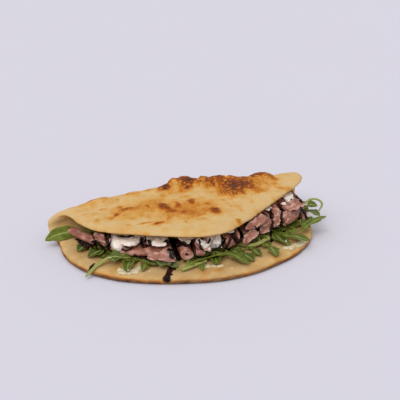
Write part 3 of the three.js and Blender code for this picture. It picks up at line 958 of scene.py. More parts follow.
    def edge_lift(self, points: np.ndarray) -> np.ndarray:
        """How much the flap is lifted towards its front edge: up at the left, down at the right.

        Args:
            points: Rows of x, y, z.

        Returns:
            A height for each point.
        """
        ahead = filling_front(points[:, 0]) + self.edge_reach - points[:, 1]
        near_edge = smooth_step(ahead, 0.0, self.edge_reach)
        near_edge *= smooth_step(points[:, 2], self.rim_height, 25.0)
        return looked_up(points[:, 0], self.edge_lifts) * near_edge

    def ragged(self, points: np.ndarray, amount: float) -> np.ndarray:
        """Points shifted by a cloudy pattern, which gives what is drawn on them a ragged edge.

        Args:
            points: Rows of x, y, z.
            amount: Scales the shift, which at 1 is up to about 5 mm.

        Returns:
            The shifted rows.
        """
        shift = np.zeros_like(points)
        shift[:, 0] = sum(cloud.at(points) for cloud in self.shift_x)
        shift[:, 1] = sum(cloud.at(points) for cloud in self.shift_y)
        return points + amount * shift

    def brown(self, dough: Object) -> None:
        """Stores how toasted, charred and dull each point is, as toast, char and dull.

        Args:
            dough: The mesh object.
        """
        points, normals = points_of(dough), normals_of(dough)
        height, up = points[:, 2], normals[:, 2]
        ragged, rounder = self.ragged(points, 1.2), self.ragged(points, 0.45)
        top = smooth_step(up, -0.3, 0.2) * smooth_step(height, self.rim_height, self.flap_height)
        toast = np.zeros(len(points))
        for zone in self.zones:
            near = smooth_fall(self.reach_of(ragged, zone), 0.45, 1.2)
            toast = np.maximum(toast, zone.toast * near * top)
        clear = np.ones(len(points))
        for patch in (*self.crest, *self.spots, *self.blisters()):
            outline = ragged if patch in self.crest else rounder
            near = smooth_fall(self.reach_of(outline, patch), 0.3, 1.4)
            clear *= 1.0 - patch.toast * near * top
        streaks = points * self.streak_squeeze
        spots = (1.0 - clear) * (1.0 + Cloud(3.4, 0.4, 9.0).at(streaks))
        toast += spots * (1.0 - 0.8 * toast) + 0.04 + Cloud(22.0, 0.12, 6.0).at(points)
        toast += (Cloud(7.0, 0.09, 7.0).at(ragged) + Cloud(5.0, 0.10, 12.0).at(streaks)) * top
        # the flap's edge line is partly toasting, partly painted shade
        toast += self.base_browning(points, normals) + self.flap_edge(points, normals)
        write_attribute(dough, "toast", np.clip(toast, 0.0, 1.0))
        crest = smooth_step(points[:, 1], -46.0, -30.0) * top
        write_attribute(dough, "char", smooth_step(toast, 0.40, 0.75) * crest)
        # darkens the base towards its front
        low = smooth_fall(height, self.rim_height - 6.0, self.rim_height)
        write_attribute(dough, "dull", low * smooth_fall(points[:, 1], -40.0, -10.0))

    def flap_edge(self, points: np.ndarray, normals: np.ndarray) -> np.ndarray:
        """A thin dark line under the flap's front edge, added as toasting: partly toast, partly
        painted shade.
        """
        low_side = smooth_fall(normals[:, 2], -0.6, -0.1) * smooth_fall(normals[:, 1], -0.5, -0.1)
        return 0.28 * low_side * smooth_step(points[:, 2], self.rim_height, self.flap_height)

    def base_browning(self, points: np.ndarray, normals: np.ndarray) -> np.ndarray:
        """Browning of the base's rim, its underside and the back of the fold.

        Args:
            points: Rows of x, y, z.
            normals: The surface's directions there.

        Returns:
            Toasting to add at each point.
        """
        height, outer_x = points[:, 2], points[:, 0] - BASE_MIDDLE_X
        low = smooth_fall(height, self.rim_height - 4.0, self.rim_height)
        under = smooth_fall(normals[:, 2], -0.8, -0.1) * smooth_fall(height, 2.5, 6.0)
        far = np.hypot(outer_x, points[:, 1])
        outward = (normals[:, 0] * outer_x + normals[:, 1] * points[:, 1]) / far
        rim = smooth_step(outward, 0.1, 0.7) * low * smooth_fall(height, 2.6, 6.4)
        back = smooth_step(normals[:, 1], 0.3, 0.9)
        added = 0.42 * under + 1.0 * rim * (1.0 + Cloud(11.0, 0.6, 8.0).at(points))
        added += back * (0.10 + 0.22 * grain_at(points, 14.0, 9.0).clip(0.0, 1.0))
        draw = random.Random(self.scorch_seed)
        for _ in range(self.base_scorches):
            turn = math.radians(draw.uniform(190, 350))
            reach = draw.uniform(118, 136)
            size = draw.uniform(3, 9)
            spot = Patch(BASE_MIDDLE_X + reach * math.cos(turn), reach * math.sin(turn), size, size)
            near = smooth_fall(self.reach_of(points, spot), 0.3, 1.3)
            added += draw.uniform(0.06, 0.24) * near * low
        return added


# ---------- Thin sheets ----------


class Sheet:
    """A flat outline, of which bent copies are laid along paths."""

    rows = 42
    columns = 8
    waves = 21.0  # how fast the edges wave along the length, in radians
    slant = 2.0  # how far the waves lean from side to side, in radians
    cup_power = 1.4

    def __init__(self, outline: Table, ruffle: float, cup: float) -> None:
        """Makes the flat original, of length 1 and half width 1.

        Args:
            outline: Points as (share of the length, share of the half width).
            ruffle: How much its edges wave, over the half width.
            cup: How much its edges rise, over the half width.
        """
        bpy.ops.object.select_all(action="DESELECT")
        bpy.ops.mesh.primitive_grid_add(
            x_subdivisions=self.rows, y_subdivisions=self.columns, size=2.0
        )
        self.flat = bpy.context.object
        for vertex in self.flat.data.vertices:
            share, across = (vertex.co.x + 1.0) / 2.0, vertex.co.y
            half = looked_up(share, outline)
            wave = ruffle * across * across * math.sin(self.waves * share + self.slant * across)
            rise = cup * abs(across) ** self.cup_power + wave
            vertex.co = (share, half * across, half * rise)

    def laid(self, path: Path, width: float, roll: float = 0.0, twist: float = 0.0) -> Object:
        """A copy bent along a path.

        Args:
            path: Points in the fold's frame, in millimetres.
            width: Its greatest width in millimetres.
            roll: Turn about the path, in degrees.
            twist: Further turn from start to end, in degrees.

        Returns:
            The copy, still without thickness.
        """
        copy = self.flat.copy()
        copy.data = self.flat.data.copy()
        bpy.context.scene.collection.objects.link(copy)
        length = sum(math.dist(a, b) for a, b in zip(path, path[1:]))
        half = 0.5 * width
        only(copy)
        bpy.ops.object.mode_set(mode="EDIT")
        bpy.ops.mesh.select_all(action="SELECT")
        size = (length * MM, half * MM, half * MM)
        bpy.ops.transform.resize(value=size, center_override=(0, 0, 0))
        bpy.ops.object.mode_set(mode="OBJECT")
        bend_along(copy, path, roll, twist)
        return copy

    def discard(self) -> None:
        """Removes the flat original."""
        bpy.data.objects.remove(self.flat)


def crumpled(points: np.ndarray, size: float, height: float, seed: float) -> np.ndarray:
    """Points shifted every way by a cloudy pattern of a size and a height in millimetres."""
    shift = [grain_at(points, size, seed + step) for step in (0.1, 0.4, 0.7)]
    return points + height * np.stack(shift, 1)


# ---------- Rocket ----------


class LeafShape(Enum):
    """Outlines as (share of the length, share of the half width)."""

    LOBED = (
        (0.0, 0.05), (0.17, 0.07), (0.25, 0.40), (0.31, 0.72), (0.35, 0.20), (0.40, 0.14),
        (0.47, 0.62), (0.53, 0.95), (0.57, 0.26), (0.62, 0.24), (0.70, 0.72), (0.77, 1.0),
        (0.82, 0.60), (0.92, 0.42), (1.0, 0.03),
    )
    PLAIN = (
        (0.0, 0.08), (0.15, 0.2), (0.3, 0.6), (0.5, 0.98), (0.65, 1.0), (0.8, 0.82), (0.93, 0.4),
        (1.0, 0.03),
    )
    STEM = ((0.0, 1.0), (0.5, 0.85), (0.9, 0.7), (1.0, 0.3))


LOBED, PLAIN, STEM = LeafShape


@dataclass(frozen=True)
class LeafPlan:
    """One leaf: path from stem to tip, greatest width, outline, turn about it, tint and twist."""

    path: tuple[Point, ...]
    width: float
    shape: LeafShape = LOBED
    roll: float = 0.0
    tint: float = 0.3
    twist: float = 0.0


@dataclass
class RocketHeap:
    """The rocket: a low bed under the ham, and the leaves and stems that show."""

    plans: tuple[LeafPlan, ...] = (
        # at the left end, out over the base's rim
        LeafPlan(
            ((-106, -14, 12), (-124, -9, 13.5), (-140, -10, 13), (-153, -12, 9)),
            15, PLAIN, roll=-50, tint=0.65,
        ),
        LeafPlan(((-102, -30, 10), (-114, -40, 12), (-124, -50, 10.4)), 13, PLAIN, tint=0.1),
        LeafPlan(((-86, -44, 10), (-101, -58, 13), (-116, -67, 10.8)), 17, PLAIN, tint=0.05),
        # the arching leaf with its pale stem over the front edge
        LeafPlan(
            ((-70, -66, 10), (-80, -86, 14.5), (-91, -84, 16.5), (-101, -79, 12)),
            15, roll=-20, tint=0.25,
        ),
        LeafPlan(
            ((-78, -76, 13), (-92, -80, 14.5), (-108, -84, 10.5), (-122, -93, 4)),
            4.2, STEM, tint=0.6,
        ),
        LeafPlan(((-70, -74, 10), (-80, -92, 12), (-85, -106, 10.6)), 12, PLAIN, tint=0.3),
        LeafPlan(((-58, -82, 10), (-64, -98, 11.6), (-70, -109, 10.2)), 10, tint=0.35),
        LeafPlan(((-74, -76, 10), (-64, -94, 12), (-52, -102, 11)), 12, tint=0.2),
        LeafPlan(((-56, -84, 10), (-46, -100, 12), (-35, -112, 11)), 19, PLAIN, tint=0.9),
        # the long pair across the middle
        LeafPlan(
            ((-38, -116, 10.6), (-22, -112, 12.6), (-4, -107, 15), (14, -103, 14)),
            15, tint=0.5,
        ),
        LeafPlan(((-33, -119, 10.4), (-20, -115, 11.4), (-6, -111, 12.6)), 3.2, STEM, tint=0.5),
        LeafPlan(((-22, -92, 10), (0, -107, 15.5), (18, -108, 15), (34, -126, 10.4)), 15, tint=0.4),
        LeafPlan(((4, -92, 10), (4, -107, 13), (2, -118, 10.4)), 11, PLAIN, tint=0.25),
        LeafPlan(((-10, -94, 10), (-12, -113, 11.4), (-14, -124, 10)), 7, PLAIN, tint=0.5),
        LeafPlan(((22, -86, 10), (34, -106, 12), (40, -121, 10.4)), 18, tint=0.15),
        # the right half
        LeafPlan(
            ((34, -80, 10), (52, -92, 12.6), (66, -85, 13), (79, -79, 12)),
            4.5, STEM, tint=0.6,
        ),
        LeafPlan(((48, -76, 10), (47, -98, 12), (51, -112, 10.3)), 14, tint=0.2),
        LeafPlan(((58, -70, 10), (65, -98, 12), (66, -118, 10.4)), 15, tint=0.4),
        LeafPlan(((72, -62, 10), (92, -82, 13.5), (111, -97, 12)), 20, tint=0.3),
        LeafPlan(((84, -60, 10), (82, -84, 12.2), (88, -99, 10.6)), 13, PLAIN, tint=0.15),
        LeafPlan(((92, -58, 10), (106, -76, 14), (124, -69, 17), (148, -58, 19)), 13, tint=0.5),
        LeafPlan(((104, -44, 10.4), (122, -60, 14), (134, -52, 17)), 12, PLAIN, tint=0.3),
        LeafPlan(
            ((110, -26, 10.6), (127, -32, 16.5), (136, -43, 19), (142, -55, 18)),
            16, tint=0.35,
        ),
        LeafPlan(((112, -16, 10.8), (131, -20, 17), (144, -15, 19)), 12, tint=0.2),
        LeafPlan(
            ((119, -40, 14), (127, -44, 23), (135, -44, 28), (143, -45, 26)),
            12, roll=25, tint=0.3,
        ),
        LeafPlan(
            ((114, -12, 10.8), (132, -24, 18.5), (149, -22, 24), (155, -28, 23), (147, -42, 19)),
            2.4, STEM, tint=0.6,
        ),
    )
    thickness: float = 0.5
    stem_thickness: float = 1.8
    stem_paleness: float = 0.9
    crumple_size: float = 9.0
    crumple: float = 0.8
    ham_gap: float = 0.4  # how far the leaves stay below the ham
    front_gap: float = 3.5  # in front of the filling by more than this, they may rise
    front_rise: float = 2.0  # over how far in front they are
    end_from: float = 112.0  # either side of the middle, they may rise from here to end_to as well
    end_to: float = 126.0
    end_rise: float = 20.0
    base_radius: float = 131.0  # within it, they stay above the base
    floor_gap: float = 0.5
    under_leaves: int = 84
    under_seed: int = 5
    under_stem_width: float = 2.2
    bed_grid: tuple[int, int] = (110, 44)
    bed_middle_x: float = 4.0
    bed_half_length: float = 118.0
    bed_setback: float = 7.0  # of its front edge, behind the filling's
    bed_back: float = 3.0
    bed_height: float = 10.4
    bed_thickness: float = 1.2
    bed_relief: Cloud = Cloud(5.0, 0.7, 3.0)

    def build(self) -> Object:
        """Makes the dressed heap.

        Returns:
            The finished piece.
        """
        sheets = {
            LOBED: Sheet(LOBED.value, ruffle=0.16, cup=0.24),
            PLAIN: Sheet(PLAIN.value, ruffle=0.18, cup=0.30),
            STEM: Sheet(STEM.value, ruffle=0.0, cup=0.5),
        }
        plans = [*self.plans, *self.hidden_plans()]
        leaves = [self.leaf(sheets[plan.shape], plan, i) for i, plan in enumerate(plans)]
        for sheet in sheets.values():
            sheet.discard()
        heap = joined([*leaves, self.bed()], "rocket_leaves")
        hand_over(heap, ["rocket"], RocketLeaf().material())
        return heap

    def leaf(self, sheet: Sheet, plan: LeafPlan, number: int) -> Object:
        """One leaf on its path.

        Args:
            sheet: The flat leaf to copy.
            plan: Where it lies and how wide it is.
            number: Its place in the list, which varies how it crumples.

        Returns:
            The leaf object.
        """
        leaf = sheet.laid(plan.path, plan.width, plan.roll, plan.twist)
        points = crumpled(points_of(leaf), self.crumple_size, self.crumple, number)
        x, lift = points[:, 0], base_lift(points[:, 0])
        ahead = np.maximum(filling_front(x) - self.front_gap - points[:, 1], 0.0)
        past_end = smooth_step(np.abs(x), self.end_from, self.end_to)
        ceiling = HAM_FLOOR - self.ham_gap + lift
        ceiling = ceiling + self.front_rise * ahead + self.end_rise * past_end
        points[:, 2] = np.minimum(points[:, 2], ceiling)
        inside = np.hypot(x - BASE_MIDDLE_X, points[:, 1]) < self.base_radius
        floor = BASE_TOP + self.floor_gap + lift
        points[:, 2] = np.where(inside, np.maximum(points[:, 2], floor), points[:, 2])
        move_points(leaf, points)
        is_stem = plan.shape is STEM
        thick = self.stem_thickness if is_stem else self.thickness
        apply_modifier(leaf, "SOLIDIFY", thickness=thick * MM, offset=0.0)
        write_attribute(leaf, "tint", plan.tint)
        write_attribute(leaf, "stem", self.stem_paleness if is_stem else 0.0)
        return leaf

    def hidden_plans(self) -> list[LeafPlan]:
        """Draws smaller leaves that peep out of the bed under the ham, by a seeded rule.

        Returns:
            Their plans.
        """
        draw = random.Random(self.under_seed)
        shapes = (LOBED, LOBED, PLAIN, STEM)
        plans = []
        for _ in range(self.under_leaves):
            x = draw.uniform(-108, 124)
            back = draw.uniform(0, 22) ** 0.9
            y = float(filling_front(x)) + 4 + back
            turn = math.radians(draw.uniform(200, 340))
            reach = draw.uniform(13, 26)
            dx, dy = reach * math.cos(turn), reach * math.sin(turn)
            z = float(base_lift(x)) + draw.uniform(9.6, 11.0)
            middle = (x + 0.5 * dx + draw.uniform(-3, 3), y + 0.45 * dy, z + draw.uniform(0.5, 3.0))
            path = ((x, y, z), middle, (x + dx, y + 0.8 * dy, z + draw.uniform(-0.5, 1.5)))
            shape = draw.choice(shapes)
            width = self.under_stem_width if shape is STEM else draw.uniform(7, 13)
            roll, tint, twist = draw.uniform(-30, 30), draw.uniform(0.0, 0.6), draw.uniform(-50, 50)
            plans.append(LeafPlan(path, width, shape, roll, tint, twist))
        return plans

    def bed(self) -> Object:
        """The low dark pad of pressed leaves that the ham lies on.

        Returns:
            The pad object.
        """
        bpy.ops.object.select_all(action="DESELECT")
        along, across = self.bed_grid
        bpy.ops.mesh.primitive_grid_add(x_subdivisions=along, y_subdivisions=across, size=2.0)
        pad = bpy.context.object
        flat = np.array([vertex.co for vertex in pad.data.vertices])
        x = self.bed_middle_x + self.bed_half_length * flat[:, 0]
        front = filling_front(x) + self.bed_setback
        y = front + (self.bed_back - front) * (flat[:, 1] + 1.0) / 2.0
        points = np.stack([x, y, np.zeros(len(x))], 1)
        points[:, 2] = base_lift(x) + self.bed_height + self.bed_relief.at(points)
        move_points(pad, points)
        apply_modifier(pad, "SOLIDIFY", thickness=self.bed_thickness * MM, offset=0.0)
        write_attribute(pad, "tint", 0.0)
        write_attribute(pad, "stem", 0.0)
        return pad


# ---------- Ham and cheese ----------


@dataclass
class HamSlice:
    """One crumpled, folded or rolled slice, refined from its solid."""

    node: str
    voxel: float = 0.8
    crumple: float = 1.9
    rolled: bool = False
    tightness: float = 0.35  # a rolled slice swells by this, so that its turns touch
    fold_size: float = 8.0
    crease_size: float = 2.4
    crease: float = 0.3  # depth of the fine creases, over that of the crumpling

    def build(self, material: Material) -> Object:
        """Makes the dressed slice.

        Args:
            material: The ham's material.

        Returns:
            The finished piece.
        """
        swelling = self.tightness if self.rolled else 0.0
        name = self.node + "_slice"
        piece = refined_copy(self.node, name, self.voxel, 0.5, passes=2, swelling=swelling)
        roughen(piece, self.fold_size, self.crumple)
        roughen(piece, self.crease_size, self.crease * self.crumple)
        self.darkening(piece)
        hand_over(piece, [self.node], material)
        return piece

    def darkening(self, piece: Object) -> None:
        """Stores the pale rims, and the darkening by soaked glaze, by painted shade along the
        slice's bottom and by painted shadow under the flap's edge.

        Args:
            piece: The mesh object.
        """
        points = points_of(piece)
        low, high = points.min(0), points.max(0)
        height = points[:, 2]
        rim = smooth_step(height, high[2] - 2.0, high[2]) * 0.35
        if self.rolled:
            rim = rim + smooth_fall(points[:, 1], low[1] + 0.2, low[1] + 1.2)
        write_attribute(piece, "rim", np.clip(rim, 0.0, 1.0))
        seed = len(self.node)
        soaked = smooth_step(grain_at(points, 9.0, seed), 0.05, 0.40) * 0.65
        # painted shade along the slice's lowest 3 mm, where it meets the leaves
        painted_bottom_shade = smooth_fall(height, 12.5, 15.5) * 0.8
        # painted shadow of the flap over the slice's upper part, broken by a cloudy pattern
        above = smooth_step(height, high[2] - 8.0, high[2] - 2.0)
        above *= smooth_step(grain_at(points, 7.0, 2.0 + seed), -0.25, 0.25) * 0.7
        write_attribute(piece, "darkening", np.maximum(np.maximum(soaked, painted_bottom_shade), above))


@dataclass(frozen=True)
class RufflePlan:
    """A thin ruffled edge of ham: its path, width, and turn about the path in degrees."""

    path: tuple[Point, ...]
    width: float
    roll: float = 0.0
    twist: float = 0.0


@dataclass
class HamRuffles:
    """Thin ruffled edges of the slices, with their pale rims, that stick out of the folds."""

    outline: Table = ((0.0, 0.35), (0.1, 0.8), (0.3, 1.0), (0.6, 0.9), (0.85, 1.0), (1.0, 0.5))
    plans: tuple[RufflePlan, ...] = (
        RufflePlan(((-109, -42, 19), (-101, -52, 23.5), (-92, -62, 22)), 9, roll=35),
        RufflePlan(((-92, -58, 14.5), (-84, -70, 17), (-74, -80, 15)), 8, roll=30),
        RufflePlan(((-60, -90, 15), (-48, -98, 17), (-36, -104, 15)), 8, roll=55),
        RufflePlan(((-15, -100, 27), (-8, -103, 25), (0, -102, 19)), 9, roll=35),
        RufflePlan(((40, -89, 15), (48, -88, 21), (58, -80, 22)), 9, roll=45, twist=-20),
        RufflePlan(((46, -82, 27), (58, -78, 30), (70, -70, 33)), 9, roll=30),
        RufflePlan(((64, -74, 18), (73, -72, 21), (81, -67, 27)), 9, roll=45, twist=25),
        RufflePlan(((82, -67, 18), (87, -66, 26), (94, -62, 32)), 8, roll=35),
        RufflePlan(((96, -66, 17), (97, -66, 25), (100, -64, 32)), 8, roll=10),
        RufflePlan(((100, -62, 33), (112, -57, 34), (125, -46, 33)), 8, roll=25),
        RufflePlan(((119, -57, 12), (125, -50, 17), (129, -41, 22)), 7, roll=15),
    )
    thickness: float = 1.1
    crumple_size: float = 5.0
    crumple: float = 1.3

    def build(self, material: Material) -> Object:
        """Makes the dressed ruffles as one piece.

        Args:
            material: The ham's material.

        Returns:
            The finished piece.
        """
        sheet = Sheet(self.outline, ruffle=0.3, cup=0.45)
        made = [self.ruffle(sheet, plan, number) for number, plan in enumerate(self.plans)]
        sheet.discard()
        ruffles = joined(made, "ham_ruffles")
        hand_over(ruffles, [], material)
        return ruffles

    def ruffle(self, sheet: Sheet, plan: RufflePlan, number: int) -> Object:
        """One ruffle on its path.

        Args:
            sheet: The flat ruffle to copy.
            plan: Where it lies and how wide it is.
            number: Its place in the list, which varies how it crumples.

        Returns:
            The ruffle object.
        """
        ruffle = sheet.laid(plan.path, plan.width, plan.roll, plan.twist)
        uv = np.empty(len(ruffle.data.loops) * 2, np.float32)
        ruffle.data.uv_layers.active.data.foreach_get("uv", uv)
        across = np.zeros(len(ruffle.data.vertices))
        across[[loop.vertex_index for loop in ruffle.data.loops]] = np.abs(2.0 * uv[1::2] - 1.0)
        move_points(ruffle, crumpled(points_of(ruffle), self.crumple_size, self.crumple, number))
        write_attribute(ruffle, "rim", smooth_step(across, 0.6, 0.95))
        soaked = smooth_step(grain_at(points_of(ruffle), 7.0, 5.0), 0.0, 0.3) * 0.55
        inner = smooth_fall(across, 0.0, 0.5) * 0.5
        write_attribute(ruffle, "darkening", np.maximum(inner, soaked))
        apply_modifier(ruffle, "SOLIDIFY", thickness=self.thickness * MM, offset=0.0)
        apply_modifier(ruffle, "SUBSURF", levels=1, render_levels=1)
        return ruffle


@dataclass
class CheeseLump:
    """One soft torn lump of cheese, refined from its solid."""

    node: str
    voxel: float = 0.7
    lump_size: float = 7.0
    lump_height: float = 3.0
    curd_size: float = 2.2
    curd_height: float = 0.9

    def build(self, material: Material) -> Object:
        """Makes the dressed lump.

        Args:
            material: The cheese's material.

        Returns:
            The finished piece.
        """
        piece = refined_copy(self.node, self.node + "_lump", self.voxel, 0.5, passes=3)
        roughen(piece, self.lump_size, self.lump_height)
        roughen(piece, self.curd_size, self.curd_height)
        hand_over(piece, [self.node], material)
        return piece


# ---------- What is traced along the view ----------


@dataclass(frozen=True)
class PhotoView:
    """The camera of the reference view, in the fold's frame, with its lens in pixels."""

    place: Point = (-192.7, -710.8, 340.8)
    forward: Point = (0.26500, 0.88330, -0.38671)
    up: Point = (0.11113, 0.37040, 0.92220)
    focal: float = 720.0
    width: float = 400.0
    sensor: float = 36.0
    clip: tuple[float, float] = (0.01, 50.0)

    def right(self) -> Vector:
        """The direction to the picture's right."""
        return Vector(self.forward).cross(Vector(self.up)).normalized()

    def ray(self, px: float, py: float) -> tuple[Vector, Vector]:
        """The line of sight through a pixel of the 400 by 400 picture.

        Args:
            px, py: The pixel.

        Returns:
            Its start and direction in the model's frame.
        """
        middle = self.width / 2.0
        direction = Vector(self.forward) * self.focal
        direction += self.right() * (px - middle) + Vector(self.up) * (middle - py)
        return fold_point(*self.place), direction.normalized()

    def add_camera(self) -> None:
        """Adds the scene's camera."""
        bpy.ops.object.camera_add(location=fold_point(*self.place))
        camera = bpy.context.object
        axes = Matrix((self.right(), Vector(self.up), -Vector(self.forward))).transposed()
        camera.rotation_mode = "QUATERNION"
        camera.rotation_quaternion = axes.to_quaternion()
        camera.data.sensor_width = self.sensor
        camera.data.lens = self.focal * self.sensor / self.width
        camera.data.clip_start, camera.data.clip_end = self.clip
        bpy.context.scene.camera = camera


class Surroundings:
    """The dressed food as one surface that lines of sight and drops fall on."""

    def __init__(self, pieces: Sequence[Object], dough: Object) -> None:
        """Gathers the faces of the filling and of the lower half of the dough.

        Args:
            pieces: Mesh objects at the origin, all of whose faces count.
            dough: The folded dough, of which only the base counts.
        """
        corners: list[Vector] = []
        faces: list[tuple[int, ...]] = []
        for piece in (*pieces, dough):
            start = len(corners)
            corners += [vertex.co.copy() for vertex in piece.data.vertices]
            found = [tuple(start + i for i in face.vertices) for face in piece.data.polygons]
            if piece == dough:
                found = [face for face in found if corners[face[0]].z < BakedDough.rim_height * MM]
            faces += found
        self.tree = BVHTree.FromPolygons(corners, faces)

    def seen(self, view: PhotoView, px: float, py: float) -> tuple[Vector, Vector] | None:
        """The point that a pixel shows and the surface's direction there, or None."""
        hit, normal, _, _ = self.tree.ray_cast(*view.ray(px, py))
        return None if hit is None else (hit, normal)


@dataclass(frozen=True)
class GlazeRun:
    """A run of glaze: pixels of the reference view that it passes, and its width in millimetres."""

    pixels: tuple[tuple[float, float], ...]
    width: float = 2.6


@dataclass
class GlazeRuns:
    """Balsamic glaze run and dripped over filling and base front, in places also painted shadow."""

    runs: tuple[GlazeRun, ...] = (
        # left end, where the dark mass is glaze and painted shadow under the flap
        GlazeRun(((77, 239), (81, 242), (86, 244), (93, 248)), 3.6),
        GlazeRun(((79, 242), (84, 246), (90, 249)), 3.0),
        GlazeRun(((92, 232), (94, 238), (95, 245), (98, 251)), 2.0),
        GlazeRun(((104, 231), (106, 237), (107, 243), (110, 250)), 2.8),
        GlazeRun(((111, 233), (108, 239), (108, 245)), 2.0),
        GlazeRun(((99, 243), (103, 248), (106, 252)), 2.4),
        # over the long fold
        # along the flap's edge: glaze that is also painted shadow
        GlazeRun(((118, 236), (127, 237), (134, 235)), 2.6),
        GlazeRun(((122, 249), (126, 251), (133, 248)), 1.8),
        GlazeRun(((142, 238), (141, 243), (144, 247), (150, 245), (149, 240)), 3.2),
        GlazeRun(((135, 256), (143, 258), (152, 261)), 3.0),
        GlazeRun(((166, 242), (172, 240), (178, 242), (185, 243)), 4.0),
        GlazeRun(((175, 242), (177, 248), (177, 254), (179, 260)), 4.6),
        GlazeRun(((177, 246), (184, 245), (190, 248)), 2.6),
        # under the flap's middle
        GlazeRun(((199, 240), (201, 246)), 2.0),
        GlazeRun(((210, 239), (208, 244)), 1.6),
        GlazeRun(((200, 247), (203, 250)), 2.2),
        GlazeRun(((219, 248), (223, 243), (226, 238)), 2.4),
        GlazeRun(((225, 249), (229, 243), (231, 238)), 2.4),
        GlazeRun(((232, 233), (235, 238), (239, 243)), 5.4),
        GlazeRun(((239, 229), (241, 236), (240, 243)), 3.6),
        # right half
        GlazeRun(((255, 226), (258, 231)), 1.4),
        GlazeRun(((271, 209), (270, 216), (273, 222), (271, 229), (271, 237), (272, 243)), 2.6),
        GlazeRun(((281, 206), (282, 213), (281, 220), (280, 227)), 2.4),
        GlazeRun(((300, 207), (304, 212), (307, 219)), 2.8),
        GlazeRun(((295, 196), (299, 199), (303, 203)), 3.2),
        # drips on the base
        GlazeRun(((171, 268), (169, 271), (167, 275), (165, 280)), 4.0),
        GlazeRun(((175, 269), (171, 270)), 3.0),
        GlazeRun(((169, 273), (172, 275)), 3.0),
        GlazeRun(((94, 264), (91, 267), (89, 271)), 2.6),
    )
    beads: tuple[Path, ...] = (
        ((-40, -106, 8.8), (-44, -114, 8.9), (-48, -120.5, 8.2), (-50, -124, 5.6)),
        ((-39, -96, 22.6), (-38, -100.5, 20), (-37.4, -101.4, 14.6)),
        ((74, -60, 31.4), (75, -64, 26), (75.4, -65, 17)),
        ((118, -44, 29.4), (119, -51, 26), (119.6, -52.6, 19.6)),
    )  # the thick beads that are part of the solids
    bead_width: float = 5.4
    bead_steps: int = 4
    pixel_step: float = 0.7
    voxel: float = 0.45
    depth: float = 0.12  # how far below the surface a run's middle lies, over its width
    longest_fall: float = 9.0

    def build(self, view: PhotoView, food: Surroundings, wetted: Sequence[Object]) -> Object:
        """Lays all runs over the food as one melted mesh and wets what lies next to them.

        Args:
            view: The reference view.
            food: What the glaze lies on.
            wetted: Pieces whose surface takes the glaze's colour near the runs.

        Returns:
            The finished piece.
        """
        runs = new_curve()
        runs.data.splines.clear()
        runs.data.bevel_depth = 0.5 * MM
        runs.data.bevel_resolution = 3
        runs.data.use_fill_caps = True
        drops = self.bead_drops()
        for number, run in enumerate(self.runs):
            for stretch in self.stretches(view, food, run):
                drops += [(point, run.width) for point in stretch]
                self.add_spline(runs.data, stretch, run.width, number)
        for piece in wetted:
            self.wet(piece, drops)
        only(runs)
        bpy.ops.object.convert(target="MESH")
        glaze = bpy.context.object
        glaze.name = "balsamic_glaze_and_shadow"
        remesh(glaze, self.voxel, 0.5, passes=4)
        hand_over(glaze, [], BalsamicGlaze().material())
        return glaze

    def bead_drops(self) -> list[tuple[Vector, float]]:
        """Finds points along the solids' thick beads.

        Returns:
            Points in the model's frame, each with the bead's width in millimetres.
        """
        drops = []
        for path in self.beads:
            for a, b in zip(path, path[1:]):
                for step in range(self.bead_steps + 1):
                    point = Vector(a).lerp(Vector(b), step / self.bead_steps)
                    drops.append((fold_point(*point), self.bead_width))
        return drops

    @staticmethod
    def wet(piece: Object, drops: Sequence[tuple[Vector, float]]) -> None:
        """Raises a piece's glaze attribute near the drops.

        Args:
            piece: The mesh object.
            drops: Points with the width of the glaze there, in millimetres.
        """
        tree = KDTree(len(drops))
        for index, (point, _) in enumerate(drops):
            tree.insert(point, index)
        tree.balance()
        points = points_of(piece)
        edge = 1.0 + Cloud(2.5, 0.45, 8.0).at(points)
        share = np.empty(len(points))
        for i, vertex in enumerate(piece.data.vertices):
            _, index, far = tree.find(vertex.co)
            share[i] = far / (0.5 * drops[index][1] * MM)
        wetness = smooth_fall(share * edge, 1.0, 1.5)
        write_attribute(piece, "glaze", np.maximum(read_attribute(piece, "glaze"), wetness))

    def stretches(self, view: PhotoView, food: Surroundings, run: GlazeRun) -> list[list[Vector]]:
        """The run's points on the food, broken where it falls too far from one piece to another.

        Args:
            view: The reference view.
            food: What the glaze lies on.
            run: The run.

        Returns:
            Lists of points in the model's frame.
        """
        found: list[list[Vector]] = [[]]
        for (ax, ay), (bx, by) in zip(run.pixels, run.pixels[1:]):
            steps = max(2, round(math.dist((ax, ay), (bx, by)) / self.pixel_step))
            for i in range(steps):
                share = i / steps
                hit = food.seen(view, ax + share * (bx - ax), ay + share * (by - ay))
                if hit is None:
                    continue
                point = hit[0] - hit[1] * self.depth * run.width * MM
                if found[-1] and (point - found[-1][-1]).length > self.longest_fall * MM:
                    found.append([])
                found[-1].append(point)
        return [stretch for stretch in found if len(stretch) > 1]

    def add_spline(self, curve: Curve, points: list[Vector], width: float, seed: int) -> None:
        """Adds one run of points as a smooth strand of uneven width.

        Args:
            curve: The curve data.
            points: The strand's points.
            width: Its usual width in millimetres.
            seed: Varies the width along it.
        """
        for _ in range(2):
            inner = [(a + 2 * b + c) / 4 for a, b, c in zip(points, points[1:], points[2:])]
            points = [points[0], *inner, points[-1]]
        spline = curve.splines.new("POLY")
        spline.points.add(len(points) - 1)
        for i, (knot, point) in enumerate(zip(spline.points, points)):
            share = i / (len(points) - 1)
            taper = min(1.0, 0.35 + 3.0 * share, 0.5 + 3.0 * (1.0 - share))
            uneven = 1.0 + 0.3 * math.sin(9.0 * share + seed) + 0.2 * share
            knot.co = (*point, 1.0)
            knot.radius = width * uneven * taper


@dataclass(frozen=True)
class Dab:
    """A low dab of spread at a pixel of the reference view, with its half size in millimetres."""

    px: float
    py: float
    half: float


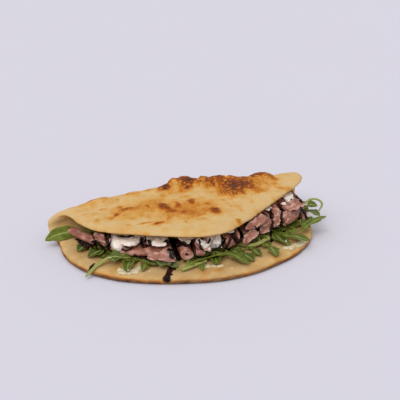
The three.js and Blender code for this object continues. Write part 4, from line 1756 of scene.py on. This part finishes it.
def dabs(*rows: Point) -> tuple[Dab, ...]:
    """Dabs from rows of px, py and half size."""
    return tuple(Dab(*row) for row in rows)


@dataclass(frozen=True)
class SpreadDabs:
    """Low dabs of one soft food, by default the creamy spread on the lower dough."""

    name: str = "creamy_spread"
    dabs: tuple[Dab, ...] = dabs(
        (121, 270, 3.2), (124, 272, 3.8), (129, 272, 3.0), (134, 271, 4.2), (139, 268, 3.6),
        (144, 266, 2.4), (202, 267, 2.8), (207, 266, 3.2), (214, 266, 2.0), (220, 266, 2.6),
        (286, 248, 2.6), (291, 247, 3.6), (297, 245, 3.6), (302, 242, 4.0), (305, 239, 3.0),
    )
    height: float = 1.0
    length: float = 1.5  # over the width
    unevenness: Cloud = Cloud(0.7, 0.35)  # over a dab of radius 1
    relief_size: float = 2.5
    relief: float = 0.6  # over the height

    def build(self, view: PhotoView, carrier: Surroundings, material: Material) -> Object:
        """Makes the dressed dabs.

        Args:
            view: The reference view.
            carrier: What they lie on.
            material: Their material.

        Returns:
            The finished piece.
        """
        made = []
        for number, dab in enumerate(self.dabs):
            hit = carrier.seen(view, dab.px, dab.py)
            if hit is None:
                continue
            bpy.ops.object.select_all(action="DESELECT")
            bpy.ops.mesh.primitive_ico_sphere_add(subdivisions=4, radius=1.0)
            blob = bpy.context.object
            flat = np.array([vertex.co for vertex in blob.data.vertices])
            uneven = 1.0 + replace(self.unevenness, seed=number + 0.5).at(flat)
            middle = (np.array(hit[0]) - np.array(FOLD_ORIGIN)) / MM
            turn = np.array(hit[1].to_track_quat("Z", "X").to_matrix())
            points = flat * uneven[:, None] * (dab.half, self.length * dab.half, self.height)
            move_points(blob, middle + points @ turn.T)
            made.append(blob)
        spread = joined(made, self.name)
        roughen(spread, self.relief_size, self.relief * self.height)
        hand_over(spread, [], material)
        return spread


@dataclass(frozen=True)
class CrumbField:
    """A box of pixels of the reference view, and how many crumbs are tried in it."""

    left: float
    top: float
    right: float
    bottom: float
    count: int


@dataclass
class Crumbs:
    """Crumbs of cheese scattered over the leaves and the base."""

    fields: tuple[CrumbField, ...] = (
        CrumbField(104, 252, 118, 262, 3),
        CrumbField(126, 262, 150, 272, 4),
        CrumbField(196, 262, 232, 268, 4),
        CrumbField(270, 224, 280, 230, 4),
        CrumbField(284, 238, 304, 247, 5),
        CrumbField(298, 192, 306, 200, 5),
    )
    least: float = 0.3
    most: float = 0.8
    stretch: Point = (1.4, 0.9, 0.8)
    relief_size: float = 0.8
    relief: float = 0.5
    seed: int = 11

    def build(self, view: PhotoView, food: Surroundings, material: Material) -> Object:
        """Scatters the crumbs by a seeded rule.

        Args:
            view: The reference view.
            food: What they lie on.
            material: The cheese's material.

        Returns:
            The finished piece.
        """
        draw = random.Random(self.seed)
        made = []
        for box in self.fields:
            for _ in range(box.count):
                px, py = draw.uniform(box.left, box.right), draw.uniform(box.top, box.bottom)
                hit = food.seen(view, px, py)
                size = draw.uniform(self.least, self.most) * MM
                turn = draw.uniform(0.0, math.pi)
                if hit is None:
                    continue
                bpy.ops.object.select_all(action="DESELECT")
                bpy.ops.mesh.primitive_ico_sphere_add(subdivisions=2, radius=size, location=hit[0])
                bpy.ops.object.mode_set(mode="EDIT")
                bpy.ops.transform.resize(value=self.stretch, center_override=hit[0])
                bpy.ops.transform.rotate(value=turn, orient_axis="Z", center_override=hit[0])
                bpy.ops.object.mode_set(mode="OBJECT")
                bpy.ops.object.transform_apply()
                made.append(bpy.context.object)
        crumbs = joined(made, "cheese_crumbs")
        roughen(crumbs, self.relief_size, self.relief)
        hand_over(crumbs, [], material)
        return crumbs


# ---------- The studio ----------


@dataclass
class Studio:
    """The plain pale floor and the soft light."""

    floor_size: float = 30.0
    sun_from: Point = (-0.45, -0.55, 1.0)
    sun_distance: float = 2.0
    sun_strength: float = 1.2
    sun_spread: float = 40.0  # degrees across, for soft shadows
    sky: Colour = (0.98, 0.98, 1.0)
    sky_strength: float = 0.71

    def build(self) -> None:
        """Adds the floor, the light and the sky."""
        bpy.ops.mesh.primitive_plane_add(size=self.floor_size)
        floor = bpy.context.object
        floor.name = "studio_floor"
        floor.data.materials.append(StudioFloor().material())
        bpy.ops.object.light_add(type="SUN", location=Vector(self.sun_from) * self.sun_distance)
        sun = bpy.context.object
        sun.name = "soft_light"
        sun.data.energy = self.sun_strength
        sun.data.angle = math.radians(self.sun_spread)
        sun.rotation_mode = "QUATERNION"
        sun.rotation_quaternion = (-Vector(self.sun_from)).to_track_quat("-Z", "Y")
        world = bpy.data.worlds.new("studio_sky")
        world.use_nodes = True
        background = world.node_tree.nodes["Background"]
        background.inputs["Color"].default_value = (*self.sky, 1.0)
        background.inputs["Strength"].default_value = self.sky_strength
        bpy.context.scene.world = world
        bpy.context.scene.view_settings.view_transform = "Standard"


# ---------- The whole sandwich ----------


@dataclass
class Sandwich:
    """The pizza dough sandwich, from the dough to the last crumb."""

    dough: BakedDough = field(default_factory=BakedDough)
    rocket: RocketHeap = field(default_factory=RocketHeap)
    ham: tuple[HamSlice, ...] = (
        HamSlice("ham_roll_left", rolled=True, crumple=0.5),
        HamSlice("ham_crumpled_left"),
        HamSlice("ham_long_fold"),
        HamSlice("ham_roll_middle", rolled=True, crumple=0.5),
        HamSlice("ham_corner_fold"),
        HamSlice("ham_dark_fold"),
        HamSlice("ham_low_fold"),
        HamSlice("ham_thick_chunk"),
        HamSlice("ham_narrow_strip"),
        HamSlice("ham_broad_slice", crumple=1.2),
    )
    cheese: tuple[CheeseLump, ...] = (
        CheeseLump("cheese_left"), CheeseLump("cheese_middle_left"), CheeseLump("cheese_middle"),
        CheeseLump("cheese_middle_right"), CheeseLump("cheese_small"), CheeseLump("cheese_right"),
        CheeseLump("cheese_far_right"),
    )
    ruffles: HamRuffles = field(default_factory=HamRuffles)
    glaze: GlazeRuns = field(default_factory=GlazeRuns)
    spread: SpreadDabs = field(default_factory=SpreadDabs)
    torn_bits: SpreadDabs = SpreadDabs(
        "torn_cheese",
        dabs(
            (199, 241, 2.6), (203, 243, 2.8), (206, 246, 2.6), (210, 243, 3.0), (213, 246, 2.6),
            (216, 242, 2.8), (219, 246, 2.0), (222, 241, 2.2), (209, 249, 1.8), (284, 204, 2.0),
            (288, 201, 1.8), (299, 193, 2.0), (150, 243, 1.8),
        ),
        height=1.8,
    )
    crumbs: Crumbs = field(default_factory=Crumbs)

    def build(self, view: PhotoView) -> None:
        """Builds every piece in order.

        Args:
            view: The reference view that the glaze, spread and crumbs are traced along.
        """
        dough = self.dough.build()
        leaves = self.rocket.build()
        ham_material = CookedHam().material()
        cheese_material = FreshCheese().material()
        slices = [piece.build(ham_material) for piece in self.ham]
        slices.append(self.ruffles.build(ham_material))
        lumps = [piece.build(cheese_material) for piece in self.cheese]
        self.spread.build(view, Surroundings([], dough), CreamySpread().material())
        filling = Surroundings([leaves, *slices, *lumps], dough)
        lumps.append(self.torn_bits.build(view, filling, cheese_material))
        food = Surroundings([leaves, *slices, *lumps], dough)
        self.glaze.build(view, food, [dough, leaves, *slices, *lumps])
        self.crumbs.build(view, food, cheese_material)


def main() -> None:
    """Builds the camera, the sandwich and the studio."""
    logging.basicConfig(level=logging.INFO, format="%(name)s: %(message)s", stream=sys.stdout)
    view = PhotoView()
    view.add_camera()
    Sandwich().build(view)
    Studio().build()


if __name__ == "__main__":
    main()
